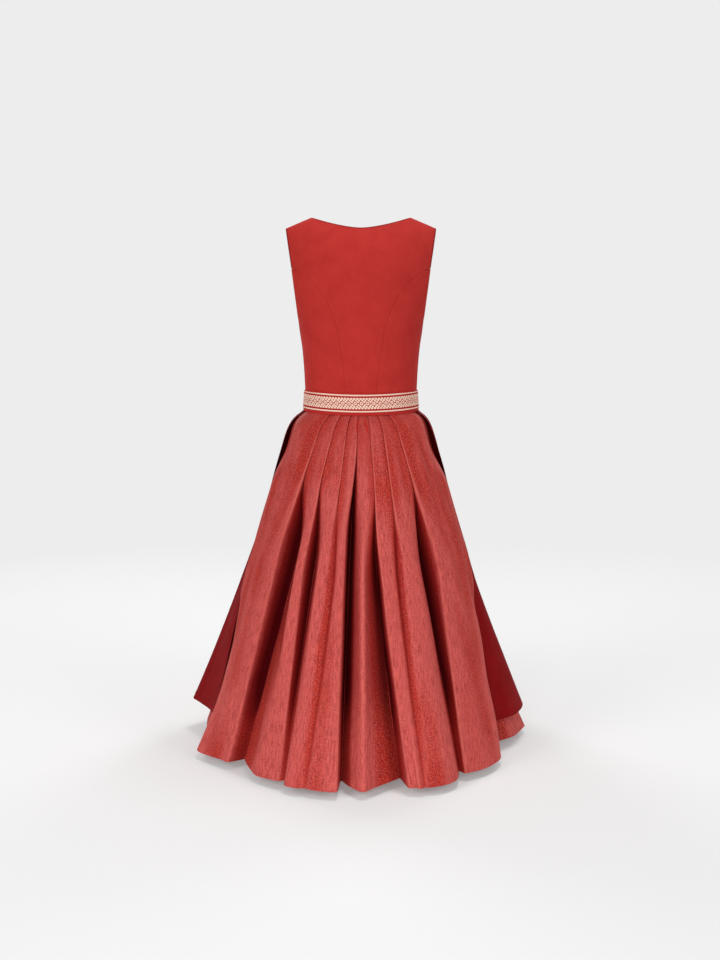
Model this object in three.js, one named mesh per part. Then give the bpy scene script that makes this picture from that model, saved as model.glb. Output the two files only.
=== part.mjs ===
// A dirndl in its worn shape, empty: a sleeveless bodice cut in seven panels, a full skirt laid in
// knife pleats at the back, an apron over its front, and a waistband faced with a woven ribbon.
// Millimetres, +Z up. The wearer faces -Y and their left is +X. The origin lies midway between the
// two shoulder seams, where the wearer's shoulders carry the dress.
import * as THREE from "three";

// ---------------------------------------------------------------- driving dimensions
const CLOTH = { bodice: 1.2, skirt: 1.0, apron: 1.0, band: 1.6, ribbon: 1.0 }; // wall thicknesses
const SEAM_GAP = 0.3; // between two panels that are sewn together
const WAIST_SEAM = -418; // height of the seam between bodice and skirt, under the waistband
const BAND = { top: -394, bottom: -446 }; // waistband edges
const BAND_GIRTH = { side: [132.7, 135.7], back: [88.2, 92.2], front: [97.2, 99.6] }; // top, bottom
const SKIRT_HEM = -1205;
const APRON_HEM = -1150;
const NECK = { x: 117, z: 13, crown: 12 }; // where a shoulder seam meets the neckline
const SHOULDER_TIP_Z = -13; // where a shoulder seam meets the armhole
const BACK_NECK_Z = -12; // lowest point of the back neckline
const FRONT_NECK_Z = -125; // lowest point of the front neckline
const UNDERARM_Z = -228;
const LAP = 9; // how far each front runs past the centre front, one under the other
const BUTTON = { count: 8, radius: 6, height: 3.4, top: -141, bottom: -383 };

const COLOURS = {
  bodice: { color: 0xbd3632, roughness: 0.85, metalness: 0 },
  skirt: { color: 0xb84f46, roughness: 0.5, metalness: 0 },
  apron: { color: 0x7d1a1c, roughness: 0.55, metalness: 0 },
  band: { color: 0xb32a25, roughness: 0.7, metalness: 0 },
  ribbon: { color: 0xd9ad99, roughness: 0.6, metalness: 0 },
  button: { color: 0xa82d29, roughness: 0.45, metalness: 0 },
};

// ---------------------------------------------------------------- small mathematics
const radians = THREE.MathUtils.degToRad;
const lerp = THREE.MathUtils.lerp;
const clamp = THREE.MathUtils.clamp;
const steps = (count) => Array.from({ length: count + 1 }, (_, k) => k / count);

// A smooth function of height through the rows [height, value] of a table, flat past both ends.
function along(rows) {
  const table = [...rows].sort((a, b) => a[0] - b[0]);
  const chord = (k) => (table[k + 1][1] - table[k][1]) / (table[k + 1][0] - table[k][0]);
  const last = table.length - 1;
  const slope = table.map((_, k) => {
    if (k === 0) return chord(0);
    if (k === last) return chord(last - 1);
    const [before, after] = [chord(k - 1), chord(k)];
    return before * after <= 0 ? 0 : (2 * before * after) / (before + after);
  });
  return (height) => {
    const at = clamp(height, table[0][0], table[last][0]);
    const k = clamp(table.findIndex((row) => row[0] >= at) - 1, 0, last - 1);
    const span = table[k + 1][0] - table[k][0];
    const f = (at - table[k][0]) / span;
    return (
      (1 + 2 * f) * (1 - f) ** 2 * table[k][1] +
      f * (1 - f) ** 2 * span * slope[k] +
      f * f * (3 - 2 * f) * table[k + 1][1] +
      f * f * (f - 1) * span * slope[k + 1]
    );
  };
}

// ---------------------------------------------------------------- cloth walls
// A closed wall between two grids of points of one size: both faces, joined by a rim all round.
function wallGeometry(outer, inner) {
  const rows = outer.length;
  const columns = outer[0].length;
  const index = [];
  const out = (row, column) => row * columns + column;
  const inn = (row, column) => rows * columns + row * columns + column;
  const points = [...outer.flat(), ...inner.flat()];
  const quad = (a, b, c, d) => {
    const across = points[a].distanceTo(points[c]);
    if (across <= points[b].distanceTo(points[d])) index.push(a, b, c, a, c, d);
    else index.push(a, b, d, b, c, d);
  };
  for (let r = 0; r < rows - 1; r++) {
    for (let c = 0; c < columns - 1; c++) {
      quad(out(r, c), out(r, c + 1), out(r + 1, c + 1), out(r + 1, c));
      quad(inn(r, c), inn(r + 1, c), inn(r + 1, c + 1), inn(r, c + 1));
    }
    quad(out(r, 0), out(r + 1, 0), inn(r + 1, 0), inn(r, 0));
    const c = columns - 1;
    quad(out(r + 1, c), out(r, c), inn(r, c), inn(r + 1, c));
  }
  for (let c = 0; c < columns - 1; c++) {
    quad(out(0, c + 1), out(0, c), inn(0, c), inn(0, c + 1));
    const r = rows - 1;
    quad(out(r, c), out(r, c + 1), inn(r, c + 1), inn(r, c));
  }
  const position = points.flatMap((p) => [p.x, p.y, p.z]);
  const geometry = new THREE.BufferGeometry();
  geometry.setAttribute("position", new THREE.Float32BufferAttribute(position, 3));
  geometry.setIndex(facingOut(position, index));
  geometry.computeVertexNormals();
  return geometry;
}

// The index of a closed mesh, turned round if its faces point inwards.
function facingOut(position, index) {
  const corner = (k) => new THREE.Vector3().fromArray(position, 3 * index[k]);
  let volume = 0;
  for (let k = 0; k < index.length; k += 3) {
    volume += corner(k).dot(corner(k + 1).cross(corner(k + 2)));
  }
  if (volume > 0) return index;
  return index.map((_, k) => index[k - (k % 3) + (2 - (k % 3))]);
}

// A line drawn in plan, moved sideways by a distance, to its left as it runs.
function beside(line, distance) {
  const run = (k) => new THREE.Vector2().subVectors(line[k + 1], line[k]).normalize();
  return line.map((point, k) => {
    const ahead = run(Math.min(k, line.length - 2));
    const behind = run(Math.max(k - 1, 0));
    const mean = ahead.add(behind).normalize();
    return new THREE.Vector2(point.x - mean.y * distance, point.y + mean.x * distance);
  });
}

// A wall whose middle follows a plan line at each height. middleAt(z) gives that line.
function hangingWall(heights, middleAt, thickness) {
  const face = (side) =>
    heights.map((z) =>
      beside(middleAt(z), (side * thickness) / 2).map((p) => new THREE.Vector3(p.x, p.y, z)),
    );
  return wallGeometry(face(1), face(-1));
}

const group = new THREE.Group();
function add(name, geometry, look) {
  const mesh = new THREE.Mesh(geometry, new THREE.MeshStandardMaterial(COLOURS[look]));
  mesh.name = name;
  group.add(mesh);
  return mesh;
}

// ---------------------------------------------------------------- the figure the bodice is cut for
// One row for each height. width: half the width, out to the side seam or the armhole edge. back and
// front: depth at the centre line. backEdge, frontEdge: depth at the armhole edge. wrap: degrees of
// arc from the centre line to that edge, 90 where the cloth goes right round to the side.
const FIGURE = [
  { z: -418, width: 128.6, back: 83, front: 92, backEdge: 0, frontEdge: 0, wrap: 90 },
  { z: -396, width: 131, back: 86, front: 95, backEdge: 0, frontEdge: 0, wrap: 90 },
  { z: -350, width: 133.5, back: 91, front: 99, backEdge: 0, frontEdge: 0, wrap: 90 },
  { z: -300, width: 137.5, back: 98, front: 106, backEdge: 0, frontEdge: 0, wrap: 90 },
  { z: -255, width: 144, back: 105, front: 113, backEdge: 0, frontEdge: 0, wrap: 90 },
  { z: UNDERARM_Z, width: 147.5, back: 108, front: 114, backEdge: 0, frontEdge: 0, wrap: 90 },
  { z: -219, width: 148.5, back: 108.6, front: 113.6, backEdge: 16, frontEdge: 19, wrap: 82 },
  { z: -204, width: 150.2, back: 109.5, front: 113, backEdge: 26, frontEdge: 31, wrap: 76 },
  { z: -180, width: 153, back: 110.5, front: 111, backEdge: 34, frontEdge: 41, wrap: 70 },
  { z: -145, width: 157.5, back: 111, front: 109, backEdge: 40, frontEdge: 49, wrap: 64 },
  { z: -100, width: 163.5, back: 111, front: 106, backEdge: 41, frontEdge: 50, wrap: 60 },
  { z: -50, width: 171.5, back: 110, front: 102, backEdge: 36, frontEdge: 42, wrap: 54 },
  { z: SHOULDER_TIP_Z, width: 177.5, back: 106, front: 98, backEdge: 28, frontEdge: 32, wrap: 50 },
  { z: 25, width: 184, back: 100, front: 92, backEdge: 22, frontEdge: 26, wrap: 47 },
];
const figure = Object.fromEntries(
  Object.keys(FIGURE[0])
    .filter((column) => column !== "z")
    .map((column) => [column, along(FIGURE.map((row) => [row.z, row[column]]))]),
);
const NECK_SHARE = NECK.x / figure.width(NECK.z); // of the half width, at the neck point
const BUST = { x: 84, z: -256, rise: 12, across: 52, tall: 62 };

// Height of the shoulder ridge at a share of the half width. Inside the neck it is only a guide,
// which rises by the crown to the middle.
function ridge(share) {
  if (share < NECK_SHARE) return NECK.z + NECK.crown * (1 - (share / NECK_SHARE) ** 2);
  return lerp(NECK.z, SHOULDER_TIP_Z, (share - NECK_SHARE) / (1 - NECK_SHARE));
}

// The two halves of the figure. turn: the height above which the cloth rolls to the shoulder.
const HALVES = {
  back: { sign: 1, depth: figure.back, edge: figure.backEdge, turn: -150, roll: 1 },
  front: { sign: -1, depth: figure.front, edge: figure.frontEdge, turn: -240, roll: 1.5 },
};

// A point on the figure. round: 0 at the centre line to 1 at the side seam or armhole edge. rise: -1
// at the waist seam, 0 at the turn height and 1 on the shoulder ridge. Past the turn, height goes
// with the sine of the rise and depth with its cosine, so the cloth lies level on the shoulder.
function onFigure(half, round, rise) {
  const { sign, depth, edge, turn, roll } = HALVES[half];
  const angle = radians(90 * Math.max(rise, 0));
  let z = lerp(turn, WAIST_SEAM, Math.max(-rise, 0));
  for (let pass = 0; pass < 3; pass++) {
    const wrap = radians(figure.wrap(z));
    const share = Math.sin(Math.abs(round) * wrap) / Math.sin(wrap);
    if (rise > 0) z = turn + (ridge(share) - turn) * Math.sin(angle);
  }
  const wrap = radians(figure.wrap(z));
  const turned = Math.abs(round) * wrap;
  const x = (figure.width(z) * Math.sin(turned)) / Math.sin(wrap);
  const fall = (depth(z) - edge(z)) * ((1 - Math.cos(turned)) / (1 - Math.cos(wrap)));
  let y = (depth(z) - fall) * Math.max(Math.cos(angle), 0) ** roll;
  if (half === "front") {
    const off = ((x - BUST.x) / BUST.across) ** 2 + ((z - BUST.z) / BUST.tall) ** 2;
    y += BUST.rise * Math.exp(-off) * (1 - round ** 8);
  }
  return new THREE.Vector3(Math.sign(round) * x, sign * y, z);
}

// The place [round, rise] on the figure that lies at a given x, from the centre line, and height.
function placeOf(half, x, z) {
  const { turn } = HALVES[half];
  const wrap = radians(figure.wrap(z));
  const share = clamp(x / figure.width(z), 0, 1);
  const round = Math.asin(share * Math.sin(wrap)) / wrap;
  if (z <= turn) return [round, -(z - turn) / (WAIST_SEAM - turn)];
  return [round, Math.asin(clamp((z - turn) / (ridge(share) - turn), 0, 1)) / radians(90)];
}

// How far up the figure a panel goes at the shoulder, just short of the ridge for the seam.
function shoulderRise(half, round) {
  const { edge, depth, roll } = HALVES[half];
  const reach = lerp(depth(0), edge(0), round ** 2);
  return Math.acos((SEAM_GAP / reach) ** (1 / roll)) / radians(90);
}

// A bodice panel: places(u, v) gives [round, rise, sunk], and the wall lies half its thickness to
// each side of the figure there, sunk inwards where one panel lies under another.
function panelGeometry(half, columns, rows, places) {
  const small = 1e-3;
  const faces = [[], []];
  for (const v of steps(rows)) {
    const line = [[], []];
    for (const u of steps(columns)) {
      const [round, rise, sunk = 0] = places(u, v);
      const point = onFigure(half, round, rise);
      const aside = round > 0 ? -small : small;
      const across = onFigure(half, round + aside, rise).sub(point).multiplyScalar(Math.sign(aside));
      const down = onFigure(half, round, rise - small).sub(point);
      const normal = across.cross(down).normalize().multiplyScalar(HALVES[half].sign);
      [1, -1].forEach((side, face) => {
        const move = (side * CLOTH.bodice) / 2 - sunk;
        line[face].push(point.clone().addScaledVector(normal, move));
      });
    }
    line.forEach((points, face) => faces[face].push(points));
  }
  return wallGeometry(faces[0], faces[1]);
}

// A panel mirrored to the wearer's right.
function mirrored(geometry) {
  const other = geometry.clone();
  const place = other.getAttribute("position");
  for (let k = 0; k < place.count; k++) place.setX(k, -place.getX(k));
  other.setIndex(facingOut(Array.from(place.array), Array.from(other.index.array)));
  other.computeVertexNormals();
  return other;
}

// ---------------------------------------------------------------- bodice panels
// The curved seams from the waist to the armhole: [height, distance from the centre line] a row.
const BACK_SEAM = [
  [-418, 32], [-376, 37.5], [-334, 42.5], [-292, 48], [-256, 53.5], [UNDERARM_Z, 60.5],
  [-219, 63.5], [-204, 69.5], [-184, 79], [-164, 91], [-147, 104], [-131, 119], [-117, 136],
  [-106, 162.6],
];
const FRONT_SEAM = [
  [-418, 46], [-376, 54], [-334, 64], [-294, 75], [-258, 85], [UNDERARM_Z, 93], [-219, 95.5],
  [-204, 101], [-188, 108], [-174, 115.5], [-160, 125.5], [-149, 138], [-140, 158.4],
];
const BACK_TOP_ROWS = 7; // from the seam's end to the shoulder
const FRONT_TOP_ROWS = 8;
const ARC = 170; // rough length of a half's arc, for gaps given as a share of it
const HALF_GAP = SEAM_GAP / 2 / ARC;

// The places [round, rise] of a curved seam, and of the edge on up the armhole to the shoulder.
const seamPlaces = (half, table) => table.map(([z, x]) => placeOf(half, x, z));
const SEAMS = { back: seamPlaces("back", BACK_SEAM), front: seamPlaces("front", FRONT_SEAM) };
function outerEdge(half, rows) {
  const seam = SEAMS[half].map(([round, rise]) => [round - HALF_GAP, rise]);
  const [, start] = seam.pop();
  const top = shoulderRise(half, 1);
  return [...seam, ...steps(rows).map((f) => [1, lerp(start, top, f)])];
}

// The side panel runs from the curved seam to the side seam, and up the armhole to a narrow tip.
const TIP = { width: 2, drop: 0.009 };
function sidePanel(half, table) {
  const rows = table.length - 1;
  return panelGeometry(half, 6, rows, (u, v) => {
    const row = Math.round(v * rows);
    const [round, rise] = SEAMS[half][row];
    const atTip = row === rows;
    const inner = atTip ? 1 - TIP.width / ARC : round + HALF_GAP;
    const outer = table[row][0] > UNDERARM_Z ? 1 : 1 - HALF_GAP;
    return [lerp(inner, outer, u), atTip ? rise - TIP.drop : rise];
  });
}

// The back neckline and shoulder, from the centre back outwards.
const BACK_NECK_CURVE = 1.6; // 1 for a V, 2 for a round scoop
function backTop(share) {
  const x = share * figure.width(NECK.z);
  if (x >= NECK.x) return shoulderRise("back", share);
  const z = lerp(BACK_NECK_Z, NECK.z, (x / NECK.x) ** BACK_NECK_CURVE);
  return Math.min(placeOf("back", x, z)[1], shoulderRise("back", share));
}

const backEdge = outerEdge("back", BACK_TOP_ROWS);
const back = panelGeometry("back", 20, backEdge.length - 1, (u, v) => {
  const row = Math.round(v * (backEdge.length - 1));
  const [edgeRound, edgeRise] = backEdge[row];
  const turned = Math.abs(2 * u - 1);
  const round = Math.sign(2 * u - 1) * turned * edgeRound;
  const done = row - (BACK_SEAM.length - 1);
  if (done <= 0) return [round, edgeRise];
  const wrap = radians(figure.wrap(SHOULDER_TIP_Z));
  const share = Math.sin(turned * wrap) / Math.sin(wrap);
  const [, start] = backEdge[BACK_SEAM.length - 1];
  return [round, lerp(start, backTop(share), done / BACK_TOP_ROWS)];
});
add("back", back, "bodice");

const sideBack = sidePanel("back", BACK_SEAM);
add("side_back_left", sideBack, "bodice");
add("side_back_right", mirrored(sideBack), "bodice");
const sideFront = sidePanel("front", FRONT_SEAM);
add("side_front_left", sideFront, "bodice");
add("side_front_right", mirrored(sideFront), "bodice");

// A front panel. Its inner edge runs up the centre front and round the neckline, its outer edge up
// the curved seam and the armhole, and its last row lies along the shoulder seam. It runs LAP past
// the centre front, and the under one dips by a wall and a gap where the other covers it.
const UNDER_GAP = 0.8;
const DIP_END = LAP + 3; // the under front dips as far as this from the centre front
const LAP_COLUMNS = [-LAP, 1, DIP_END, DIP_END + 6]; // distances from the centre front
const FRONT_COLUMNS = 7; // outside the lap
const NECKLINE = { lean: 1.15, fill: 0.85 }; // both 1 for a quarter of an ellipse
function neckline(f) {
  const angle = radians(90 * f ** NECKLINE.lean);
  const x = NECK.x * Math.sin(angle);
  return placeOf("front", x, lerp(NECK.z, FRONT_NECK_Z, Math.cos(angle) ** NECKLINE.fill));
}
function frontPanel(under) {
  const outer = outerEdge("front", FRONT_TOP_ROWS);
  const straight = FRONT_SEAM.length - 1;
  const neckHeight = (row) => lerp(WAIST_SEAM, FRONT_NECK_Z, row / straight);
  const rows = outer.length - 1;
  const columns = LAP_COLUMNS.length - 1 + FRONT_COLUMNS;
  return panelGeometry("front", columns, rows, (u, v) => {
    const row = Math.round(v * rows);
    const column = Math.round(u * columns);
    const f = (row - straight) / FRONT_TOP_ROWS;
    const inner = row <= straight ? placeOf("front", 0, neckHeight(row)) : neckline(f);
    if (row === rows) inner[1] = shoulderRise("front", inner[0]);
    const last = LAP_COLUMNS.length - 1;
    const aside = LAP_COLUMNS[Math.min(column, last)] / ARC;
    const crowded = row === rows ? 0.8 : 1; // the shoulder seam is shorter than the rows below it
    const start = inner[0] + (row <= straight ? aside : aside + LAP / ARC) * crowded;
    const share = Math.max(column - last, 0) / FRONT_COLUMNS;
    const round = lerp(start, outer[row][0], share);
    const across = (round - inner[0]) / (outer[row][0] - inner[0]);
    const rise = row === rows ? shoulderRise("front", round) : lerp(inner[1], outer[row][1], across);
    const dip = under && row <= straight && LAP_COLUMNS[column] <= DIP_END;
    return [round, rise, dip ? CLOTH.bodice + UNDER_GAP : 0];
  });
}
add("front_left", frontPanel(true), "bodice");
add("front_right", mirrored(frontPanel(false)), "bodice");

// ---------------------------------------------------------------- buttons on the centre front
const BUTTON_PROFILE = [[0, 0], [0.9, 0], [1, 0.3], [0.78, 0.8], [0.35, 1], [0, 1]];
const profile = BUTTON_PROFILE.map(
  ([across, up]) => new THREE.Vector2(across * BUTTON.radius, up * BUTTON.height),
);
steps(BUTTON.count - 1).forEach((f, k) => {
  const z = lerp(BUTTON.top, BUTTON.bottom, f);
  const seat = onFigure("front", 1e-6, placeOf("front", 0, z)[1]);
  const above = onFigure("front", 1e-6, placeOf("front", 0, z + 5)[1]);
  const slope = new THREE.Vector2(above.z - seat.z, above.y - seat.y).normalize();
  const clear = CLOTH.bodice / 2 + SEAM_GAP;
  const button = add(`button_${k + 1}`, new THREE.LatheGeometry(profile, 10), "button");
  button.rotation.x = Math.atan2(slope.y, -slope.x);
  button.position.set(0, seat.y - clear * slope.x, z + clear * slope.y);
});

// ---------------------------------------------------------------- the skirt's outline
// Angles go round the skirt in degrees from the centre back, positive to the wearer's left. The
// outline is an ellipse at each height, with the side, back and front each given their own flare.
const SKIRT_TOP = WAIST_SEAM - 1; // the bodice ends above it, with the seam between
const FLARE_TOP = BAND.bottom - 1;
const FLARE = {
  side: { waist: 129, top: 132.5, kick: 28.5, rate: 48, steady: 208, late: 22 },
  back: { waist: 86, top: 89, kick: 22, rate: 12, steady: 230, late: 72 },
  front: { waist: 93, top: 96, kick: 30, rate: 14, steady: 200, late: 62 },
};
const fallShare = (z) => clamp((FLARE_TOP - z) / (FLARE_TOP - SKIRT_HEM), 0, 1);
function flare({ waist, top, kick, rate, steady, late }, z) {
  const s = fallShare(z);
  const above = clamp((SKIRT_TOP - z) / (SKIRT_TOP - FLARE_TOP), 0, 1);
  return lerp(waist, top, above) + kick * (1 - Math.exp(-rate * s)) + steady * s + late * s * s;
}
// How far its two sides hang to the wearer's left of where the outline puts them.
const sway = along([[FLARE_TOP, 0], [-500, 2.5], [-700, 3], [-1000, 6], [SKIRT_HEM, 6]]);

// The plan point at an angle and height that lies a distance inside the outline.
function onSkirt(angle, inside, z) {
  const turned = radians(angle);
  const deep = Math.cos(turned) > 0 ? FLARE.back : FLARE.front;
  const across = flare(FLARE.side, z) * Math.sin(turned);
  const along = flare(deep, z) * Math.cos(turned);
  const kept = 1 - inside / Math.hypot(across, along);
  return new THREE.Vector3(across * kept + sway(z) * Math.sin(turned) ** 2, along * kept, z);
}
// Degrees to a millimetre, round the outline at an angle and height.
const degreesPer = (angle, z) => 1 / onSkirt(angle, 0, z).distanceTo(onSkirt(angle + 1, 0, z));

// A plan line through folds [angle, inside, pieces], with that many pieces on to the next fold.
function foldLine(folds, z) {
  const points = folds.map(([angle, inside]) => onSkirt(angle, inside, z));
  const curve = new THREE.CatmullRomCurve3(points, false, "centripetal");
  const last = folds.length - 1;
  return folds.flatMap(([, , pieces = 2], k) =>
    k === last
      ? [points[last]]
      : steps(pieces).slice(0, -1).map((f) => curve.getPoint((k + f) / last)),
  );
}

// ---------------------------------------------------------------- the skirt's back pleats
// Knife pleats that face the centre back. Each outer face laps over the next one inwards, which is
// pressed flat under it, and lower down the pleat opens into a groove between two flutes.
// line: angle of the lapping edge, then of the groove's root, at the waist, at SET, MID and the hem.
// lap: how far the cloth goes back under the edge. opens: the height where it begins to part.
// mid, hem: the ridge of the flute outside the groove and the shoulder of the next face, each as
// [angle, depth inside the outline], and the depths of the root and of the next face's middle.
const SET = -610;
const MID = -790;
const PLEATS = [
  { side: 1, lap: 20, opens: -530, line: [33, 40.5, 39.8, 41],
    mid: { ridge: [49, 1], root: 44, shoulder: [37.4, 18], face: 1 },
    hem: { ridge: [54, 26], root: 55, shoulder: [37.6, 21], face: 19 } },
  { side: 1, lap: 15, opens: -550, line: [20.6, 27, 25.4, 25.8],
    mid: { ridge: [30.2, 0], root: 34, shoulder: [23.9, 12], face: 0 },
    hem: { ridge: [28.4, 19], root: 27, shoulder: [24.3, 2], face: -2 } },
  { side: 1, lap: 9, opens: -560, line: [10.8, 13.6, 14.4, 17.8],
    mid: { ridge: [18.2, 0], root: 12, shoulder: [13.2, 5], face: 0 },
    hem: { ridge: [20, -2], root: 4, shoulder: [16.4, -1], face: -5 } },
  { side: 1, lap: 8, opens: -490, line: [3.4, 3, 4.3, 6],
    mid: { ridge: [8.4, 0], root: 46, shoulder: [2.5, 14], face: -1 },
    hem: { ridge: [7.4, -5], root: 50, shoulder: [3.4, 28], face: 0 } },
  { side: -1, lap: 8, opens: -590, line: [7, 8.6, 6.4, 9],
    mid: { ridge: [10.4, 1], root: 38, shoulder: [4.2, 14], face: 0 },
    hem: { ridge: [15.6, 5], root: 56, shoulder: [4.6, 26], face: 0 } },
  { side: -1, lap: 13, opens: -580, line: [17.2, 19.4, 19.4, 20.4],
    mid: { ridge: [23.2, 0], root: 17, shoulder: [17.9, 6], face: 0 },
    hem: { ridge: [22.8, -4], root: 2, shoulder: [18.8, -2], face: 0 } },
  { side: -1, lap: 18, opens: -550, line: [29, 36, 37, 35],
    mid: { ridge: [43.6, 1], root: 42, shoulder: [34.6, 16], face: 0 },
    hem: { ridge: [39.2, 26], root: 38, shoulder: [33.2, 11], face: -2 } },
];
const LAYER = 1.9; // between the middles of two cloth layers pressed together
const CREASE = 1.3; // length over which the cloth turns at a crease
const OPENING_FALL = 230; // height over which a pleat opens
const EMERGE = 2.2; // how far past the lapping edge the next face comes out
const LAP_KEPT = 0.4; // share of the lap still under the edge where the pleat is open
const SHARP = { least: 0.7, most: 3, share: 0.35 }; // degrees from a flute's ridge to its outer side

const columnsOf = (heights) => (values) => along(heights.map((z, k) => [z, values[k]]));
const between = columnsOf([MID, SKIRT_HEM]);
const allDown = columnsOf([FLARE_TOP, SET, MID, SKIRT_HEM]);

// The seven folds of a pleat at a height, from its outer face in to the next face.
function pleatFolds(pleat, z) {
  const degrees = pleat.side * degreesPer(pleat.side * pleat.line[0], z);
  const line = pleat.side * allDown(pleat.line)(z);
  const at = (part) => [0, 1].map((k) => between([pleat.mid[part][k], pleat.hem[part][k]])(z));
  const open = THREE.MathUtils.smoothstep(pleat.opens - z, 0, OPENING_FALL);
  const outward = PLEATS.filter((one) => one.side === pleat.side && one.line[0] > pleat.line[0]);
  const width = Math.min(...outward.map((other) => other.line[0] - pleat.line[0]));
  const slope = Number.isFinite(width) ? (2 * LAYER * Math.abs(degrees)) / width : 0;
  const lap = pleat.lap * lerp(1, LAP_KEPT, open);
  const closed = [
    [CREASE, slope * CREASE],
    [0, LAYER / 2],
    [CREASE, LAYER],
    [lap - CREASE, LAYER + slope * lap],
    [lap, 1.5 * LAYER + slope * lap],
    [lap - CREASE, 2 * LAYER + slope * lap],
    [-EMERGE, 1.9 * LAYER],
  ].map(([along, inside]) => [line + along * degrees, inside]);
  const [ridge, ridgeIn] = at("ridge");
  const [shoulder, shoulderIn] = at("shoulder");
  const rootIn = between([pleat.mid.root, pleat.hem.root])(z);
  const root = pleat.side * line;
  const turn = 0.75 * LAYER * degreesPer(root, z);
  const soft = clamp(SHARP.share * (ridge - root), SHARP.least, SHARP.most);
  const opened = [
    [ridge + soft, ridgeIn],
    [ridge, ridgeIn + 0.05 * (rootIn - ridgeIn)],
    [lerp(ridge, root, 0.5), lerp(ridgeIn, rootIn, 0.42)],
    [root + turn, rootIn - CREASE],
    [root, rootIn],
    [root - turn, rootIn - CREASE],
    [shoulder, shoulderIn],
  ];
  const pieces = [1, 1, 2, 1, 1, 2, 2];
  const folds = closed.map(([angle, inside], k) => [
    lerp(angle, pleat.side * opened[k][0], open),
    lerp(inside, opened[k][1], open),
    pieces[k],
  ]);
  if (pleat.side > 0) return folds;
  return folds.reverse().map(([angle, inside], k) => [angle, inside, pieces[5 - k]]);
}

// Broad folds between the outermost pleats and the side seams, from the seam in on the left and out
// to it on the right: angle, and depth inside the outline, at each of the side's heights. Both sides
// lie in over the hip, where the apron stands clear of them.
const SEAM_ANGLE = 95;
const SIDE_FOLDS = {
  left: {
    heights: [FLARE_TOP, -520, SET, MID, -1060, SKIRT_HEM],
    folds: [
      { angle: Array(6).fill(SEAM_ANGLE), inside: [3, 14, 4, 5, 20, 26] },
      { angle: [88, 88, 88, 91, 89, 88], inside: [4, 12, 2, 1, 30, 32] },
      { angle: [81, 82, 82, 86, 85, 80], inside: [4, 11, -1, -1, 37, 40] },
      { angle: [76, 77, 77, 80, 78, 74], inside: [3, 10, -3, -2, 28, 14] },
      { angle: [67, 69, 70, 73, 71, 69], inside: [0, 5, -3, -1, 15, -2] },
      { angle: [51, 54, 56, 61, 62, 62.4], inside: [0, 0, 0, 0, 12, 13] },
    ],
  },
  right: {
    heights: [FLARE_TOP, -520, SET, -780, -950, SKIRT_HEM],
    folds: [
      { angle: [-45, -47, -49, -54, -51.5, -46], inside: [0, 0, 0, 0, 6, 19] },
      { angle: [-62, -64, -66, -68, -64.5, -57], inside: [0, 3, -2, 0, 6, 19] },
      { angle: [-71, -72, -73, -75, -70, -61], inside: [4, 12, -3, 0, 11, 27] },
      { angle: [-77, -78, -80, -81, -75, -67], inside: [6, 15, -1, -1, 28, 54] },
      { angle: [-83, -84, -85, -87, -81, -75], inside: [5, 15, 2, 0, 38, 62] },
      { angle: [-89, -89, -90, -92, -87.5, -84], inside: [4, 15, 3, 3, 32, 24] },
      { angle: Array(6).fill(-SEAM_ANGLE), inside: [3, 15, 4, 6, 14, -10] },
    ],
  },
};
const sideFolds = ({ heights, folds }, z) =>
  folds.map(({ angle, inside }) => [angle, inside].map((column) => columnsOf(heights)(column)(z)));

// All the folds across the back: the sides, the pleats, and a fold in the middle of each face, half
// way between those next to it.
function backFolds(z) {
  const nextFace = PLEATS.map(({ mid, hem }) => allDown([LAYER, LAYER, mid.face, hem.face])(z));
  const pleats = PLEATS.map((pleat) => pleatFolds(pleat, z));
  const face = (k, inside) => [(pleats[k].at(-1)[0] + pleats[k + 1][0][0]) / 2, inside];
  return [
    ...sideFolds(SIDE_FOLDS.left, z),
    ...pleats.flatMap((folds, k) => {
      if (k === PLEATS.length - 1) return folds;
      const faced = PLEATS[k].side > 0 ? k : k + 1;
      return [...folds, face(k, nextFace[faced])];
    }),
    ...sideFolds(SIDE_FOLDS.right, z),
  ];
}

// ---------------------------------------------------------------- the skirt's front and the apron
// Both fall in the same soft flutes, the apron outside the skirt. base: depth of the skirt's front
// inside the outline where nothing waves. depth: from the crest of a flute to its hollow.
const FLUTES = {
  count: 9,
  from: 108,
  to: 256,
  base: columnsOf([FLARE_TOP, -560, SKIRT_HEM])([3, 6, 7]),
  depth: columnsOf([FLARE_TOP, -560, MID, SKIRT_HEM])([0.8, 4, 9, 17]),
};
const fluteFolds = (z, base) =>
  steps(2 * FLUTES.count).map((f, k) => [
    lerp(FLUTES.from, FLUTES.to, f),
    base + (k % 2) * FLUTES.depth(z),
  ]);
// The front's folds: it goes on from the back at each side seam, and eases into the flutes.
function frontFolds(z) {
  const base = FLUTES.base(z);
  const left = sideFolds(SIDE_FOLDS.left, z)[0][1];
  const right = sideFolds(SIDE_FOLDS.right, z).at(-1)[1];
  return [
    [SEAM_ANGLE, left],
    [SEAM_ANGLE + 6, lerp(left, base, 0.5)],
    ...fluteFolds(z, base),
    [360 - SEAM_ANGLE - 4, lerp(right, base, 0.2)],
    [360 - SEAM_ANGLE, right],
  ];
}

// How far the apron lies outside the outline where nothing waves.
const apronLift = (z) => 1.4 + 21 * fallShare(z) ** 2.5;
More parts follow.
